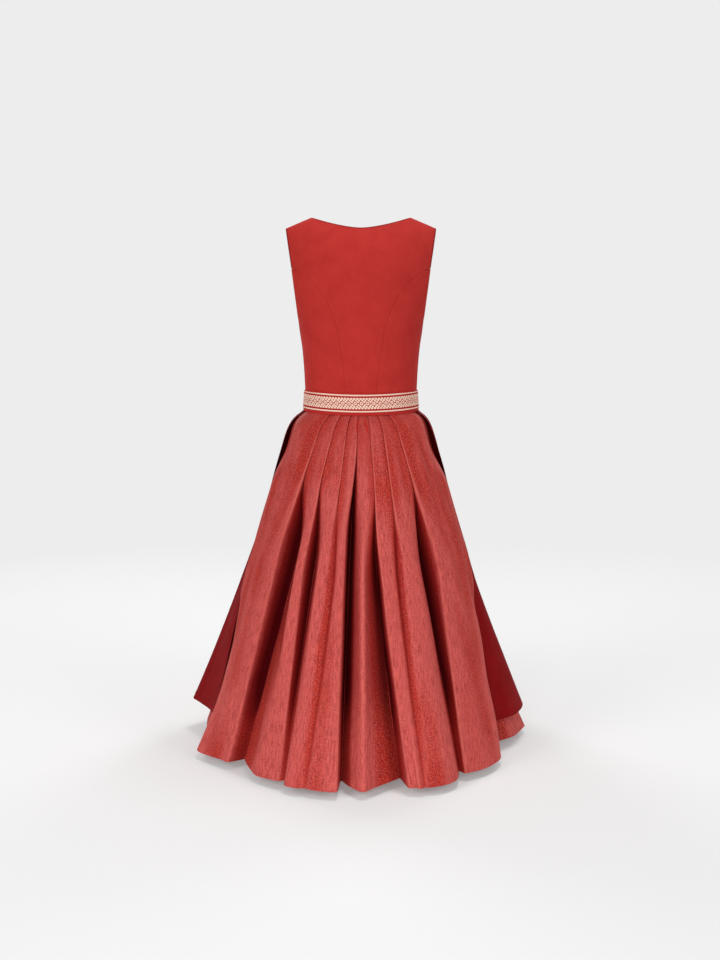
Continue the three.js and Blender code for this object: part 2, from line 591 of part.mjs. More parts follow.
// The apron's free edges and the folds next to them: angle, and how much further out than the rest
// of the apron they lie, at each height. They show over the hip and below the middle of the skirt.
const APRON_SIDES = {
  heights: [FLARE_TOP, -540, -640, -770, -930, APRON_HEM],
  left: [
    { angle: [79, 86, 95, 94, 85, 81], out: [0, 0, -1, -1, -17, -45] },
    { angle: [86, 92, 98, 97, 90, 88], out: [0, 0, -1, -1, -10, -37] },
    { angle: [93, 97, 100.5, 100, 97, 96], out: [0, 0, -1, 0, -3, -10] },
    { angle: [100, 102, 103.5, 103.5, 103, 102.5], out: [0, 0, 0, 4, 9, 20] },
  ],
  right: [
    { angle: [262, 260, 257.5, 257.5, 260.5, 262], out: [0, 0, 0, 0, 0, 3] },
    { angle: [269, 265, 260, 260.5, 267, 270], out: [0, 0, -1, -1, -4, -3] },
    { angle: [277, 270, 262.5, 263, 274, 278.5], out: [0, -1, -1, -1, -14, -24] },
    { angle: [284, 275, 265, 266, 281, 286.5], out: [0, -1, -1, -1, -30, -54] },
  ],
};
const apronDown = columnsOf(APRON_SIDES.heights);
function apronFolds(z) {
  const lift = apronLift(z);
  const side = ({ angle, out }) => [apronDown(angle)(z), -lift - apronDown(out)(z)];
  const flutes = fluteFolds(z, -lift).slice(0, -1);
  return [...APRON_SIDES.left.map(side), ...flutes, ...APRON_SIDES.right.map(side)];
}

const HEIGHTS = {
  back: [SKIRT_TOP, FLARE_TOP, -462, -490, -530, -575, -625, -690, -775, -875, -985, -1095, SKIRT_HEM],
  front: [SKIRT_TOP, FLARE_TOP, -462, -500, -580, -720, -880, -1040, SKIRT_HEM],
  apron: [-422, FLARE_TOP, -457, -485, -540, -640, -780, -910, -1030, APRON_HEM],
};
// A line drawn in at both ends, where two walls meet at an angle in a side seam.
function trimmed(line) {
  const drawn = (end, next) => end.clone().lerp(next, SEAM_GAP / end.distanceTo(next));
  return [drawn(line[0], line[1]), ...line.slice(1, -1), drawn(line.at(-1), line.at(-2))];
}
const skirtBack = (z) => trimmed(foldLine(backFolds(z), z));
const skirtFront = (z) => trimmed(foldLine(frontFolds(z), z));
const apron = (z) => foldLine(apronFolds(z), z);
add("skirt_back", hangingWall(HEIGHTS.back, skirtBack, CLOTH.skirt), "skirt");
add("skirt_front", hangingWall(HEIGHTS.front, skirtFront, CLOTH.skirt), "skirt");
add("apron", hangingWall(HEIGHTS.apron, apron, CLOTH.apron), "apron");

// ---------------------------------------------------------------- waistband and ribbon
// A strip round the waist that laps over its own start on the wearer's left front, where hooks hold
// it. The ribbon covers all of it that shows.
const LAP_START = 140; // degrees
const LAP_LENGTH = 18; // degrees
const RIBBON = { top: -396.5, bottom: -439.5, start: 2.5 }; // start: degrees clear of the outer end
const BAND_MIDDLE = -420;
const STEP = CLOTH.band + SEAM_GAP;

// The band's middle in plan: the outline at that height, moved out by clear.
function bandPoint(angle, clear, z) {
  const turned = radians(angle);
  const f = (z - BAND.top) / (BAND.bottom - BAND.top);
  const side = lerp(...BAND_GIRTH.side, f);
  const deep = lerp(...(Math.cos(turned) > 0 ? BAND_GIRTH.back : BAND_GIRTH.front), f);
  return new THREE.Vector2((side + clear) * Math.sin(turned), (deep + clear) * Math.cos(turned));
}
const LAP_END = LAP_START + 360 + LAP_LENGTH;
const LIFT = [LAP_START + 360 - 26, LAP_START + 360 - 9]; // where the outer end lifts over the start
function bandLine(z, clear, from, to, columns) {
  return steps(columns).map((f) => {
    const angle = lerp(from, to, f);
    const over = THREE.MathUtils.smoothstep(angle, ...LIFT);
    return bandPoint(angle, clear + STEP * over, z);
  });
}
const ribbonClear = (CLOTH.band + CLOTH.ribbon) / 2 + SEAM_GAP;
add(
  "waistband",
  hangingWall(
    [BAND.top, BAND_MIDDLE, BAND.bottom],
    (z) => bandLine(z, 0, LAP_START, LAP_END, 50),
    CLOTH.band,
  ),
  "band",
);
add(
  "ribbon",
  hangingWall(
    [RIBBON.top, BAND_MIDDLE, RIBBON.bottom],
    (z) => bandLine(z, ribbonClear, LAP_START + LAP_LENGTH + RIBBON.start, LAP_END, 47),
    CLOTH.ribbon,
  ),
  "ribbon",
);

export default group;
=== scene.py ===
"""A dirndl in its worn shape, empty. Shapes are worked out in millimetres in the part's own frame:
+Z up, the wearer faces -Y and their left is +X. Each mesh is put in metres when it is made.
"""
from collections import namedtuple
import bmesh
import bpy
import numpy as np
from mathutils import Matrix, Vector


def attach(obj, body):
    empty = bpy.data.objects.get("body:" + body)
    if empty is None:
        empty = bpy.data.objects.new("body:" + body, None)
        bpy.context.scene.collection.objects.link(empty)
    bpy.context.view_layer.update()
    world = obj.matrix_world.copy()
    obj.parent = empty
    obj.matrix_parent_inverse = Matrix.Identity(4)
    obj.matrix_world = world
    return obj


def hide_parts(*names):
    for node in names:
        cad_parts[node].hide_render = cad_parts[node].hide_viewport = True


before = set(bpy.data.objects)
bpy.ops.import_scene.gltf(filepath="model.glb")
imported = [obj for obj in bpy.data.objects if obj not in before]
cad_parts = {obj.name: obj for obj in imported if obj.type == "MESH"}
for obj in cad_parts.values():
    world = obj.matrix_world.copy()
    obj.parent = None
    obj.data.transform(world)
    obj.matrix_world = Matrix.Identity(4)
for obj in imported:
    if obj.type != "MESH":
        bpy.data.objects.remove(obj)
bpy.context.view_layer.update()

# ---------------------------------------------------------------- the back of the bodice
# One piece of lined, matte red cotton with a shallow scooped neck and wide shoulders. Its sides are
# the curved seams to the side backs. The neck and the armholes are faced and rolled over.


def along(heights, values):
    """Smooth curve through (height, value) pairs, level past both ends. The slope at each inner pair
    is the harmonic mean of the two chords beside it, or level where they turn."""
    order = np.argsort(heights)
    at, value = np.array(heights, float)[order], np.array(values, float)[order]
    chord = np.diff(value) / np.diff(at)
    before, after = chord[:-1], chord[1:]
    bend = np.where(before * after > 0, before * after, 0)
    total = np.where(before + after == 0, 1, before + after)
    slope = np.concatenate([chord[:1], 2 * bend / total, chord[-1:]])

    def curve(height):
        height = np.clip(height, at[0], at[-1])
        k = np.clip(np.searchsorted(at, height) - 1, 0, len(at) - 2)
        span = at[k + 1] - at[k]
        f = (height - at[k]) / span
        return (
            (1 + 2 * f) * (1 - f) ** 2 * value[k]
            + f * (1 - f) ** 2 * span * slope[k]
            + f * f * (3 - 2 * f) * value[k + 1]
            + f * f * (f - 1) * span * slope[k + 1]
        )

    return curve


def lerp(a, b, f):
    """The value a share f of the way from a to b."""
    return a + (b - a) * f


def smoothstep(x, start, end):
    """0 before start and 1 past end, by the cubic 3f2 - 2f3 between them."""
    f = np.clip((x - start) / (end - start), 0, 1)
    return f * f * (3 - 2 * f)


WAIST_SEAM, SHOULDER_TIP = -418, -13
NECK_X, NECK_Z, NECK_CROWN = 117, 13, 12
BACK_NECK, FRONT_NECK = -12, -125
SEAM_GAP = 0.3
BODICE_CLOTH = 1.2

# The figure the bodice is cut for. A column each for the height, half the width, the depth at the
# centre line behind and in front, the depth at the armhole's edge, and the degrees of wrap to it.
FIGURE = np.array(
    [
        (-418, 128.6, 83, 92, 0, 0, 90),
        (-396, 131, 86, 95, 0, 0, 90),
        (-350, 133.5, 91, 99, 0, 0, 90),
        (-300, 137.5, 98, 106, 0, 0, 90),
        (-255, 144, 105, 113, 0, 0, 90),
        (-228, 147.5, 108, 114, 0, 0, 90),
        (-219, 148.5, 108.6, 113.6, 16, 19, 82),
        (-204, 150.2, 109.5, 113, 26, 31, 76),
        (-180, 153, 110.5, 111, 34, 41, 70),
        (-145, 157.5, 111, 109, 40, 49, 64),
        (-100, 163.5, 111, 106, 41, 50, 60),
        (-50, 171.5, 110, 102, 36, 42, 54),
        (-13, 177.5, 106, 98, 28, 32, 50),
        (25, 184, 100, 92, 22, 26, 47),
    ]
)
half_width, back_depth, front_depth, back_edge, front_edge, wrap_degrees = (
    along(FIGURE[:, 0], FIGURE[:, k]) for k in range(1, 7)
)
# Each half's way outwards, its depths, the height where the cloth starts to roll to the shoulder, and
# how late in the roll it draws in.
HALVES = {
    "back": dict(sign=1, depth=back_depth, edge=back_edge, turn=-150, roll=1.0),
    "front": dict(sign=-1, depth=front_depth, edge=front_edge, turn=-240, roll=1.5),
}
NECK_SHARE = NECK_X / half_width(NECK_Z)
BUST = dict(x=84, z=-256, rise=12, across=52, tall=62)  # one side's middle, rise and spread


def ridge(share):
    """Height of the shoulder ridge: straight from the neck point to the tip, and a low crown
    between the two neck points, which only guides the neckline."""
    inside = NECK_Z + NECK_CROWN * (1 - (share / NECK_SHARE) ** 2)
    outside = lerp(NECK_Z, SHOULDER_TIP, (share - NECK_SHARE) / (1 - NECK_SHARE))
    return np.where(share < NECK_SHARE, inside, outside)


def on_figure(half, across, rise):
    """Points on the figure. across runs from 0 at the centre line to 1 at the armhole's edge; rise is
    -1 at the waist seam, 0 where the cloth starts to roll to the shoulder, and 1 on its ridge. The
    plan is part of an ellipse, and past the turn the depth falls with the cosine of the rise."""
    h = HALVES[half]
    across, rise = np.broadcast_arrays(np.asarray(across, float), np.asarray(rise, float))
    angle = np.pi / 2 * np.maximum(rise, 0)
    z = lerp(h["turn"], WAIST_SEAM, np.maximum(-rise, 0))
    for _ in range(3):
        wrap = np.radians(wrap_degrees(z))
        share = np.sin(np.abs(across) * wrap) / np.sin(wrap)
        z = np.where(rise > 0, h["turn"] + (ridge(share) - h["turn"]) * np.sin(angle), z)
    wrap = np.radians(wrap_degrees(z))
    turned = np.abs(across) * wrap
    x = half_width(z) * np.sin(turned) / np.sin(wrap)
    fall = (h["depth"](z) - h["edge"](z)) * (1 - np.cos(turned)) / (1 - np.cos(wrap))
    y = (h["depth"](z) - fall) * np.maximum(np.cos(angle), 0) ** h["roll"]
    if half == "front":
        off = ((x - BUST["x"]) / BUST["across"]) ** 2 + ((z - BUST["z"]) / BUST["tall"]) ** 2
        y = y + BUST["rise"] * np.exp(-off) * (1 - across**8)
    return np.stack([np.sign(across) * x, h["sign"] * y, z], -1)


def place_of(half, x, z):
    """The pair (across, rise) that on_figure puts at a distance x from the centre and a height z."""
    turn = HALVES[half]["turn"]
    wrap = np.radians(wrap_degrees(z))
    share = np.clip(x / half_width(z), 0, 1)
    across = np.arcsin(share * np.sin(wrap)) / wrap
    upper = np.arcsin(np.clip((z - turn) / (ridge(share) - turn), 0, 1)) / (np.pi / 2)
    return across, np.where(z <= turn, (z - turn) / (turn - WAIST_SEAM), upper)


def shoulder_rise(half, across):
    """The rise at which a panel stops short of the shoulder ridge by the seam's gap."""
    h = HALVES[half]
    reach = lerp(h["depth"](0.0), h["edge"](0.0), across**2)
    return np.arccos((SEAM_GAP / reach) ** (1 / h["roll"])) / (np.pi / 2)


def spaced(count, close=0.002):
    """0 to 1 in even steps, with two more steps close to each end, where the cloth's edge rounds."""
    even = np.linspace(0, 1, count + 1)[1:-1]
    return np.concatenate([[0, 0.35 * close, close], even, [1 - close, 1 - 0.35 * close, 1]])


def outward(grid):
    """Unit normals of a grid of points, by the cross product of its two runs, turned away from the
    garment's axis, and whether they had to be turned."""
    normal = np.cross(np.gradient(grid, axis=1), np.gradient(grid, axis=0))
    normal /= np.maximum(np.linalg.norm(normal, axis=-1, keepdims=True), 1e-9)
    turned = (normal[..., :2] * grid[..., :2]).sum() < 0
    return (-normal if turned else normal), not turned


def lengths(grid, axis):
    """Distance along each line of the grid from its start, in its own length."""
    step = np.linalg.norm(np.diff(grid, axis=axis), axis=-1)
    start = np.zeros_like(np.take(step, [0], axis))
    return np.concatenate([start, np.cumsum(step, axis)], axis)


def from_edges(grid, axis):
    """Distance from the nearer end of each line of the grid."""
    run = lengths(grid, axis)
    return np.minimum(run, np.take(run, [-1], axis) - run)


def shell(name, middle, thickness, grain=None, marks=()):
    """A closed wall of cloth, half its thickness to each side of a grid of points, its edges rounded
    to half circles. Its UV map runs across and up the cloth in metres, unless a grain gives its own.
    Marks are named values at the points, for its material."""
    normal, turned = outward(middle)
    near = np.minimum(from_edges(middle, 0), from_edges(middle, 1)) / (thickness / 2)
    half = thickness / 2 * np.sqrt(np.clip(1 - (1 - np.minimum(near, 1)) ** 2, 0.04, 1))[..., None]
    points = np.concatenate([middle + normal * half, middle - normal * half]).reshape(-1, 3)
    rows, columns = middle.shape[:2]
    index = np.arange(rows * columns).reshape(rows, columns)
    faced = np.stack([index[:-1, :-1], index[:-1, 1:], index[1:, 1:], index[1:, :-1]], -1)
    faced = faced.reshape(-1, 4)
    loop = np.concatenate([index[0], index[1:, -1], index[-1, -2::-1], index[-2:0:-1, 0]])
    after, inner = np.roll(loop, -1), rows * columns
    rim = np.stack([after, loop, loop + inner, after + inner], -1)
    faces = np.concatenate([faced, (faced + inner)[:, ::-1], rim])
    if not turned:
        faces = faces[:, ::-1]
    mesh = bpy.data.meshes.new(name)
    mesh.from_pydata((points / 1000).tolist(), [], faces.tolist())
    if grain is None:
        across, up = lengths(middle, 1), lengths(middle, 0)
        grain = np.stack([across - across[:, columns // 2][:, None], up], -1)
    uv = np.tile(grain.reshape(-1, 2), (2, 1)) / 1000
    corner = np.empty(len(mesh.loops), np.int32)
    mesh.loops.foreach_get("vertex_index", corner)
    mesh.uv_layers.new(name="cloth").data.foreach_set("uv", uv[corner].ravel())
    for mark, values in dict(marks).items():
        kept = mesh.attributes.new(mark, "FLOAT", "POINT").data
        kept.foreach_set("value", np.tile(values.ravel(), 2).astype(np.float32))
    mesh.polygons.foreach_set("use_smooth", np.ones(len(faces), bool))
    mesh.set_sharp_from_angle(angle=1.0)
    mesh.update()
    piece = bpy.data.objects.new(name, mesh)
    bpy.context.scene.collection.objects.link(piece)
    return piece


def hollows(x, z, table):
    """Soft creases placed one by one. Each row is (x, z) of its two ends, its width and its depth, below
    nought for a ridge; the depth falls off with the square of the distance from the line, and towards the
    line's ends."""
    depth = np.zeros(np.broadcast(x, z).shape)
    for x0, z0, x1, z1, width, deep in table:
        run, rise = x1 - x0, z1 - z0
        f = np.clip(((x - x0) * run + (z - z0) * rise) / (run * run + rise * rise), 0, 1)
        off = np.hypot(x - x0 - f * run, z - z0 - f * rise) / width
        depth += deep * np.exp(-off * off) * (0.25 + 3 * f * (1 - f))
    return depth


def rumple(x, z, size, seed):
    """Slow unevenness from nought to about one each way: five plane waves whose directions and
    phases come from the seed, all about the given size long."""
    made = np.random.default_rng(seed)
    waves = zip(made.uniform(0, np.pi, 5), made.uniform(0.6, 1.7, 5), made.uniform(0, 6.28, 5))
    total = sum(
        np.sin(6.283 / (size * long) * (np.cos(way) * x + np.sin(way) * z) + phase)
        for way, long, phase in waves
    )
    return total / 2.2


def seamed(middle, columns, seed, dip=0.45, reach=2.6):
    """Sinks the given edge columns of a panel into the seam beside them, with small puckers."""
    normal, _ = outward(middle)
    run, up = lengths(middle, 1), lengths(middle, 0)
    sunk = np.zeros(run.shape)
    for column in columns:
        off = np.abs(run - run[:, column][:, None])
        pucker = 0.16 * np.sin(up / 1.9 + 2 * rumple(up, 0 * up, 40, seed)) * np.exp(-off / 3.5)
        sunk += dip * np.exp(-((off / reach) ** 2)) + pucker * (1 - np.exp(-off / 1.2))
    return middle - normal * sunk[..., None]


def curve_through(places):
    """A smooth curve through places (across, rise) by their number in the row."""
    number = np.arange(len(places[0]))
    return along(number, places[0]), along(number, places[1])


# The curved back seam: height and distance from the centre line. ARC is about the length of cloth from
# the centre line to the armhole's edge, which makes a distance a share of the way across.
BACK_SEAM = np.array(
    [(-418, 32), (-376, 37.5), (-334, 42.5), (-292, 48), (-256, 53.5), (-228, 60.5), (-219, 63.5)]
    + [(-204, 69.5), (-184, 79), (-164, 91), (-147, 104), (-131, 119), (-117, 136), (-106, 162.6)]
)
ARC = 170
HALF_GAP = 0.05 / ARC
BACK_UPPER = 7  # rows of the back above its seams
back_seam = curve_through(place_of("back", BACK_SEAM[:, 1], BACK_SEAM[:, 0]))


def back_top(share):
    """The rise of the back's upper edge: the scooped neckline, which rises with the power 1.6 of the
    distance from the centre, and then the shoulder seam."""
    x = share * half_width(NECK_Z)
    z = lerp(BACK_NECK, NECK_Z, np.minimum(x / NECK_X, 1) ** 1.6)
    neckline = np.minimum(place_of("back", x, z)[1], shoulder_rise("back", share))
    return np.where(x >= NECK_X, shoulder_rise("back", share), neckline)


CORNER = 0.12  # the share of a row in which an edge turns from the seam to the armhole


def outer_edge(seam, end, top, upper):
    """The panel's outer edge by row: along the seam to its end, then up the armhole's edge."""
    start = seam[1](end)

    def edge(row):
        on_seam = row <= end
        done = np.clip((row - end) / upper, 0, 1)
        on_edge = lerp(seam[0](end) - HALF_GAP, 1, np.clip((row - end) / CORNER, 0, 1))
        across = np.where(on_seam, seam[0](np.minimum(row, end)) - HALF_GAP, on_edge)
        return across, np.where(on_seam, seam[1](np.minimum(row, end)), lerp(start, top, done))

    return edge


def back_panel(u, v):
    """The back's middle. u runs from the wearer's right to left and v from the waist to the top; the
    rows follow the seam's, then spread from its end to the neckline and the shoulders."""
    end, upper = len(BACK_SEAM) - 1, BACK_UPPER
    row = (v * (end + upper))[:, None]
    edge = outer_edge(back_seam, end, shoulder_rise("back", 1.0), upper)
    edge_across, edge_rise = edge(row)
    turned = np.abs(2 * u - 1)[None, :]
    across = np.sign(2 * u - 1)[None, :] * turned * edge_across
    wrap = np.radians(wrap_degrees(SHOULDER_TIP))
    share = np.sin(turned * wrap) / np.sin(wrap)
    done = np.clip((row - end) / upper, 0, 1)
    rise = np.where(row <= end, edge_rise, lerp(back_seam[1](end), back_top(share), done))
    return on_figure("back", across, rise)


class Reading:
    """A number in a material. Reckoning with it adds Math nodes."""

    def __init__(self, finish, socket):
        self.finish, self.socket = finish, socket

    def maths(self, operation, *others):
        return self.finish.node("ShaderNodeMath", {"operation": operation}, [self, *others])

    def __add__(self, other):
        return self.maths("ADD", other)

    def __mul__(self, other):
        return self.maths("MULTIPLY", other)

    def __sub__(self, other):
        return self.maths("SUBTRACT", other)

    def __rsub__(self, other):
        return self.finish.node("ShaderNodeMath", {"operation": "SUBTRACT"}, [other, self])

    def __truediv__(self, other):
        return self.maths("DIVIDE", other)

    __radd__, __rmul__ = __add__, __mul__


class Finish:
    """A material under construction, with one method that adds any node."""

    def __init__(self, name):
        self.material = bpy.data.materials.new(name)
        self.material.use_nodes = True
        self.tree = self.material.node_tree
        self.surface = self.tree.nodes["Principled BSDF"]

    def put(self, socket, value):
        if isinstance(value, Reading):
            self.tree.links.new(value.socket, socket)
        else:
            socket.default_value = value

    def node(self, kind, settings=(), inputs=(), output=0):
        """Adds a node and reads one of its outputs. settings are its own choices, and inputs are values
        or readings, by position or by name."""
        made = self.tree.nodes.new(kind)
        for key, value in dict(settings).items():
            setattr(made, key, value)
        pairs = inputs.items() if isinstance(inputs, dict) else enumerate(inputs)
        for key, value in pairs:
            self.put(made.inputs[key], value)
        return Reading(self, made.outputs[output])

    def split(self, vector):
        """The x, y and z of a vector."""
        return [self.node("ShaderNodeSeparateXYZ", (), [vector], k) for k in range(3)]

    def noise(self, vector, scale, detail=2.0, rough=0.5):
        inputs = {"Vector": vector, "Scale": scale, "Detail": detail, "Roughness": rough}
        return self.node("ShaderNodeTexNoise", (), inputs)

    def stretched(self, vector, scale):
        """A vector multiplied by a scale along each axis."""
        return self.node("ShaderNodeVectorMath", {"operation": "MULTIPLY"}, [vector, scale])

    def mark(self, name):
        """A value that the cloth carries at each point."""
        return self.node("ShaderNodeAttribute", {"attribute_name": name}, (), 2)

    def mix(self, share, first, second):
        """Two colours mixed by a share of the second."""
        settings = {"data_type": "RGBA", "clamp_factor": True}
        return self.node("ShaderNodeMix", settings, {0: share, 6: first, 7: second}, 2)

    def ramp(self, reading, low, high):
        """A reading spread so that low becomes 0 and high 1, cut off past both."""
        inputs = {"Value": reading, "From Min": low, "From Max": high}
        return self.node("ShaderNodeMapRange", (), inputs)

    def finish(self, **values):
        """Sets the surface's own sockets, named with underscores for spaces."""
        for key, value in values.items():
            self.put(self.surface.inputs[key.replace("_", " ")], value)
        return self.material

    def bump(self, height, depth, strength=1.0, below=None):
        """The normal of a surface raised by a height times a depth in metres."""
        inputs = {"Height": height, "Distance": depth, "Strength": strength}
        if below is not None:
            inputs["Normal"] = below
        return self.node("ShaderNodeBump", (), inputs)


def colour(red, green, blue):
    """A colour given in screen values of 0 to 255, as the shader wants it."""
    share = np.array([red, green, blue]) / 255
    linear = np.where(share <= 0.04045, share / 12.92, ((share + 0.055) / 1.055) ** 2.4)
    return (*(float(x) for x in linear), 1.0)


def threads(finish, cloth, across, up):
    """A plain weave. Threads of the two pitches, in metres, pass over and under each other: the
    height is the larger of two rounded waves, each raised where it crosses over."""
    x, y, _ = finish.split(cloth)
    warp = (x * (3.1416 / across)).maths("SINE").maths("ABSOLUTE")
    weft = (y * (3.1416 / up)).maths("SINE").maths("ABSOLUTE")
    over = (x * (3.1416 / across)).maths("COSINE") * (y * (3.1416 / up)).maths("COSINE")
    return warp * (0.5 + 0.5 * over) + weft * (0.5 - 0.5 * over)


def bodice_finish():
    """Matte red cotton: plain weave, faintly clouded, with fine lighter and darker yarns. Shade is
    painted on it, darker where an edge carries the mark rolled: along the rolled neck and armhole edges."""
    f = Finish("bodice_cotton")
    place = f.node("ShaderNodeTexCoord", (), (), "Object")
    cloth = f.node("ShaderNodeUVMap", {"uv_map": "cloth"})
    clouds = f.noise(place, 26.0, 4.0, 0.6)
    yarns = f.noise(f.stretched(cloth, (260.0, 1500.0, 1.0)), 1.0, 2.0, 0.6)
    warps = f.noise(f.stretched(cloth, (1600.0, 200.0, 1.0)), 1.0, 2.0, 0.6)
    base = f.mix(f.ramp(clouds, 0.3, 0.7), colour(173, 37, 33), colour(185, 46, 41))
    base = f.mix(f.ramp(yarns, 0.42, 0.8) * 0.35, base, colour(205, 78, 70))
    base = f.mix(f.ramp(warps, 0.45, 0.8) * 0.3, base, colour(140, 22, 22))
    # Painted shade along the rolled neck and armhole edges.
    base = f.mix(f.mark("rolled") * 0.7, base, colour(116, 18, 22))
    weave = threads(f, cloth, 0.00042, 0.00046)
    normal = f.bump(weave, 0.00012, 0.55)
    normal = f.bump(f.noise(place, 150.0, 3.0, 0.6), 0.0006, 0.25, normal)
    return f.finish(
        Base_Color=base,
        Roughness=0.82 + 0.1 * clouds,
        Normal=normal,
        Specular_IOR_Level=0.15,
    )


BODICE = bodice_finish()
# Creases of the back, in x and height: a dent over the waistband at the centre, faint drags from
# the waist seam and the underarms, and the tension lines between the shoulders.
BACK_CREASES = [
    (-4, -389, 5, -391, 5, 1.6),
    (-26, -382, 20, -376, 7, 0.5),
    (14, -392, 60, -380, 7, 0.55),
    (-62, -392, -18, -372, 8, 0.5),
    (-100, -250, -52, -292, 14, 0.6),
    (100, -246, 58, -286, 13, 0.55),
    (-30, -330, 44, -338, 16, -0.5),
    (-50, -120, 40, -130, 22, 0.5),
    (-118, -60, -74, -96, 15, 0.5),
    (116, -54, 70, -90, 16, 0.55),
]


def worn(middle, table, seed, most=0.45):
    """A panel with its creases and a slow unevenness, which fade out at its edges."""
    normal, _ = outward(middle)
    edge = np.minimum(from_edges(middle, 0), from_edges(middle, 1))
    fade = smoothstep(edge, 2, 22)
    x, z = middle[..., 0], middle[..., 2]
    depth = hollows(x, z, table) * smoothstep(edge, 0, 9) + most * fade * rumple(x, z, 75, seed)
    return middle - normal * depth[..., None]


FACING = 10  # the stitched line of a facing, from the edge
FAR = 60  # a distance past all that an edge changes


def faced_edge(middle, off):
    """The ledge of a facing under the cloth: raised by 0.25 mm from the edge to its stitched line,
    which sinks by 0.35 mm."""
    normal, _ = outward(middle)
    line = np.exp(-(((off - FACING) / 0.9) ** 2))
    raised = 0.25 * (1 - smoothstep(off, FACING - 1, FACING + 2)) - 0.35 * line
    return middle + normal * (raised * smoothstep(off, 0, 2))[..., None]


columns, rows = spaced(96), spaced(124)
middle = worn(back_panel(columns, rows), BACK_CREASES, 3)
from_top = lengths(middle, 0)[-1] - lengths(middle, 0)
neck = 1 - smoothstep(np.abs(middle[-1, :, 0]), NECK_X - 4, NECK_X + 2)
from_neck = lerp(FAR, from_top, neck[None, :])
middle = faced_edge(middle, from_neck)
# The share of each row that lies on the curved seams, and not along the armholes.
seams = 1 - smoothstep(rows, 0.56, 0.63)[:, None]
from_armhole = from_edges(middle, 1) + FAR * seams
middle = lerp(middle, seamed(middle, [0, -1], 5), seams[..., None])
# Painted shade: the mark rolled, from 1 at the neck and armhole edges to 0 past 5.4 mm, darkens the cloth
# where the edges roll over.
rolled = 1 - smoothstep(np.minimum(from_neck, from_armhole), 2.4, 5.4)
back = shell("bodice_back", middle, BODICE_CLOTH, None, {"rolled": rolled})
back.data.materials.append(BODICE)
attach(back, "root")
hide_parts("back")

# ---------------------------------------------------------------- the side backs and side fronts
# Two pairs of narrow panels of the same cotton. Each runs from a curved seam to the side seam, and up
# the armhole to a point. The right ones are cut as the left ones, turned over.
FRONT_SEAM = np.array(
    [(-418, 46), (-376, 54), (-334, 64), (-294, 75), (-258, 85), (-228, 93), (-219, 95.5)]
    + [(-204, 101), (-188, 108), (-174, 115.5), (-160, 125.5), (-149, 138), (-140, 158.4)]
)
front_seam = curve_through(place_of("front", FRONT_SEAM[:, 1], FRONT_SEAM[:, 0]))
TIP_WIDTH, TIP_DROP = 2, 0.003  # of the point: how wide it stays, and how far its rise stops short
SIDES = (("left", 1), ("right", -1))
SIDE_CREASES = {
    "back": [
        (138, -236, 96, -268, 10, 0.7),
        (132, -262, 92, -288, 12, 0.5),
        (128, -384, 70, -396, 7, 0.7),
        (120, -350, 76, -366, 10, 0.45),
        (134, -300, 104, -312, 11, -0.4),
    ],
    "front": [
        (140, -236, 108, -262, 9, 0.7),
        (130, -388, 72, -398, 7, 0.7),
        (124, -340, 84, -356, 10, 0.5),
    ],
}


def side_panel(half, seam, table, u, v):
    """The middle of a side panel, from the curved seam to the side seam or the armhole's edge."""
    last = len(table) - 1
    row = (v * last)[:, None]
    across, rise = seam[0](row), seam[1](row)
    tip = smoothstep(row, last - 1, last)
    inner = lerp(across + HALF_GAP, np.minimum(across + HALF_GAP, 1 - TIP_WIDTH / ARC), tip)
    outer = 1 - HALF_GAP * (1 - smoothstep(row, 5, 5.5))
    return on_figure(half, lerp(inner, outer, u[None, :]), rise - TIP_DROP * tip)


for half, seam, table in (("back", back_seam, BACK_SEAM), ("front", front_seam, FRONT_SEAM)):
    columns, rows = spaced(34, 0.004), spaced(86, 0.003)
    middle = worn(side_panel(half, seam, table, columns, rows), SIDE_CREASES[half], 11)
    up = rows[:, None, None]
    middle = lerp(middle, seamed(middle, [0], 7), 1 - smoothstep(up, 0.86, 0.96))
    middle = lerp(middle, seamed(middle, [-1], 8, 0.2), 1 - smoothstep(up, 0.38, 0.42))
    for side, way in SIDES:
        piece = shell(f"bodice_side_{half}_{side}", middle * [way, 1, 1], BODICE_CLOTH)
        piece.data.materials.append(BODICE)
        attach(piece, "root")
        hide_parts(f"side_{half}_{side}")
        area, held_by = (0.037, "back") if half == "back" else (0.030, f"front_{side}")

# ---------------------------------------------------------------- the fronts
# Two panels of the same cotton, each 9 mm past the centre front. The right one lies over the left and
# takes the buttons. The necklines are round and faced like the back's.
LAP, LAP_SHARE = 9, 0.3  # past the centre front, and the share of the columns spent on its strip
DIP_END, DIP_FADE, UNDER_GAP = 12, 6, 0.8  # how the left front sinks under the right one's lap
FRONT_UPPER = 8  # rows of a front above its seam
FRONT_CREASES = [
    (30, -404, 74, -392, 8, 0.6),
    (52, -330, 20, -352, 12, 0.5),
    (70, -210, 34, -176, 14, 0.5),
    (118, -60, 92, -96, 13, 0.5),
]


def neckline(f):
    """The front neckline by share of its length: near a quarter of an ellipse, fuller than one."""
    angle = np.pi / 2 * np.clip(f, 0, 1) ** 1.15
    x = NECK_X * np.sin(angle)
    return place_of("front", x, lerp(NECK_Z, FRONT_NECK, np.maximum(np.cos(angle), 0) ** 0.85))


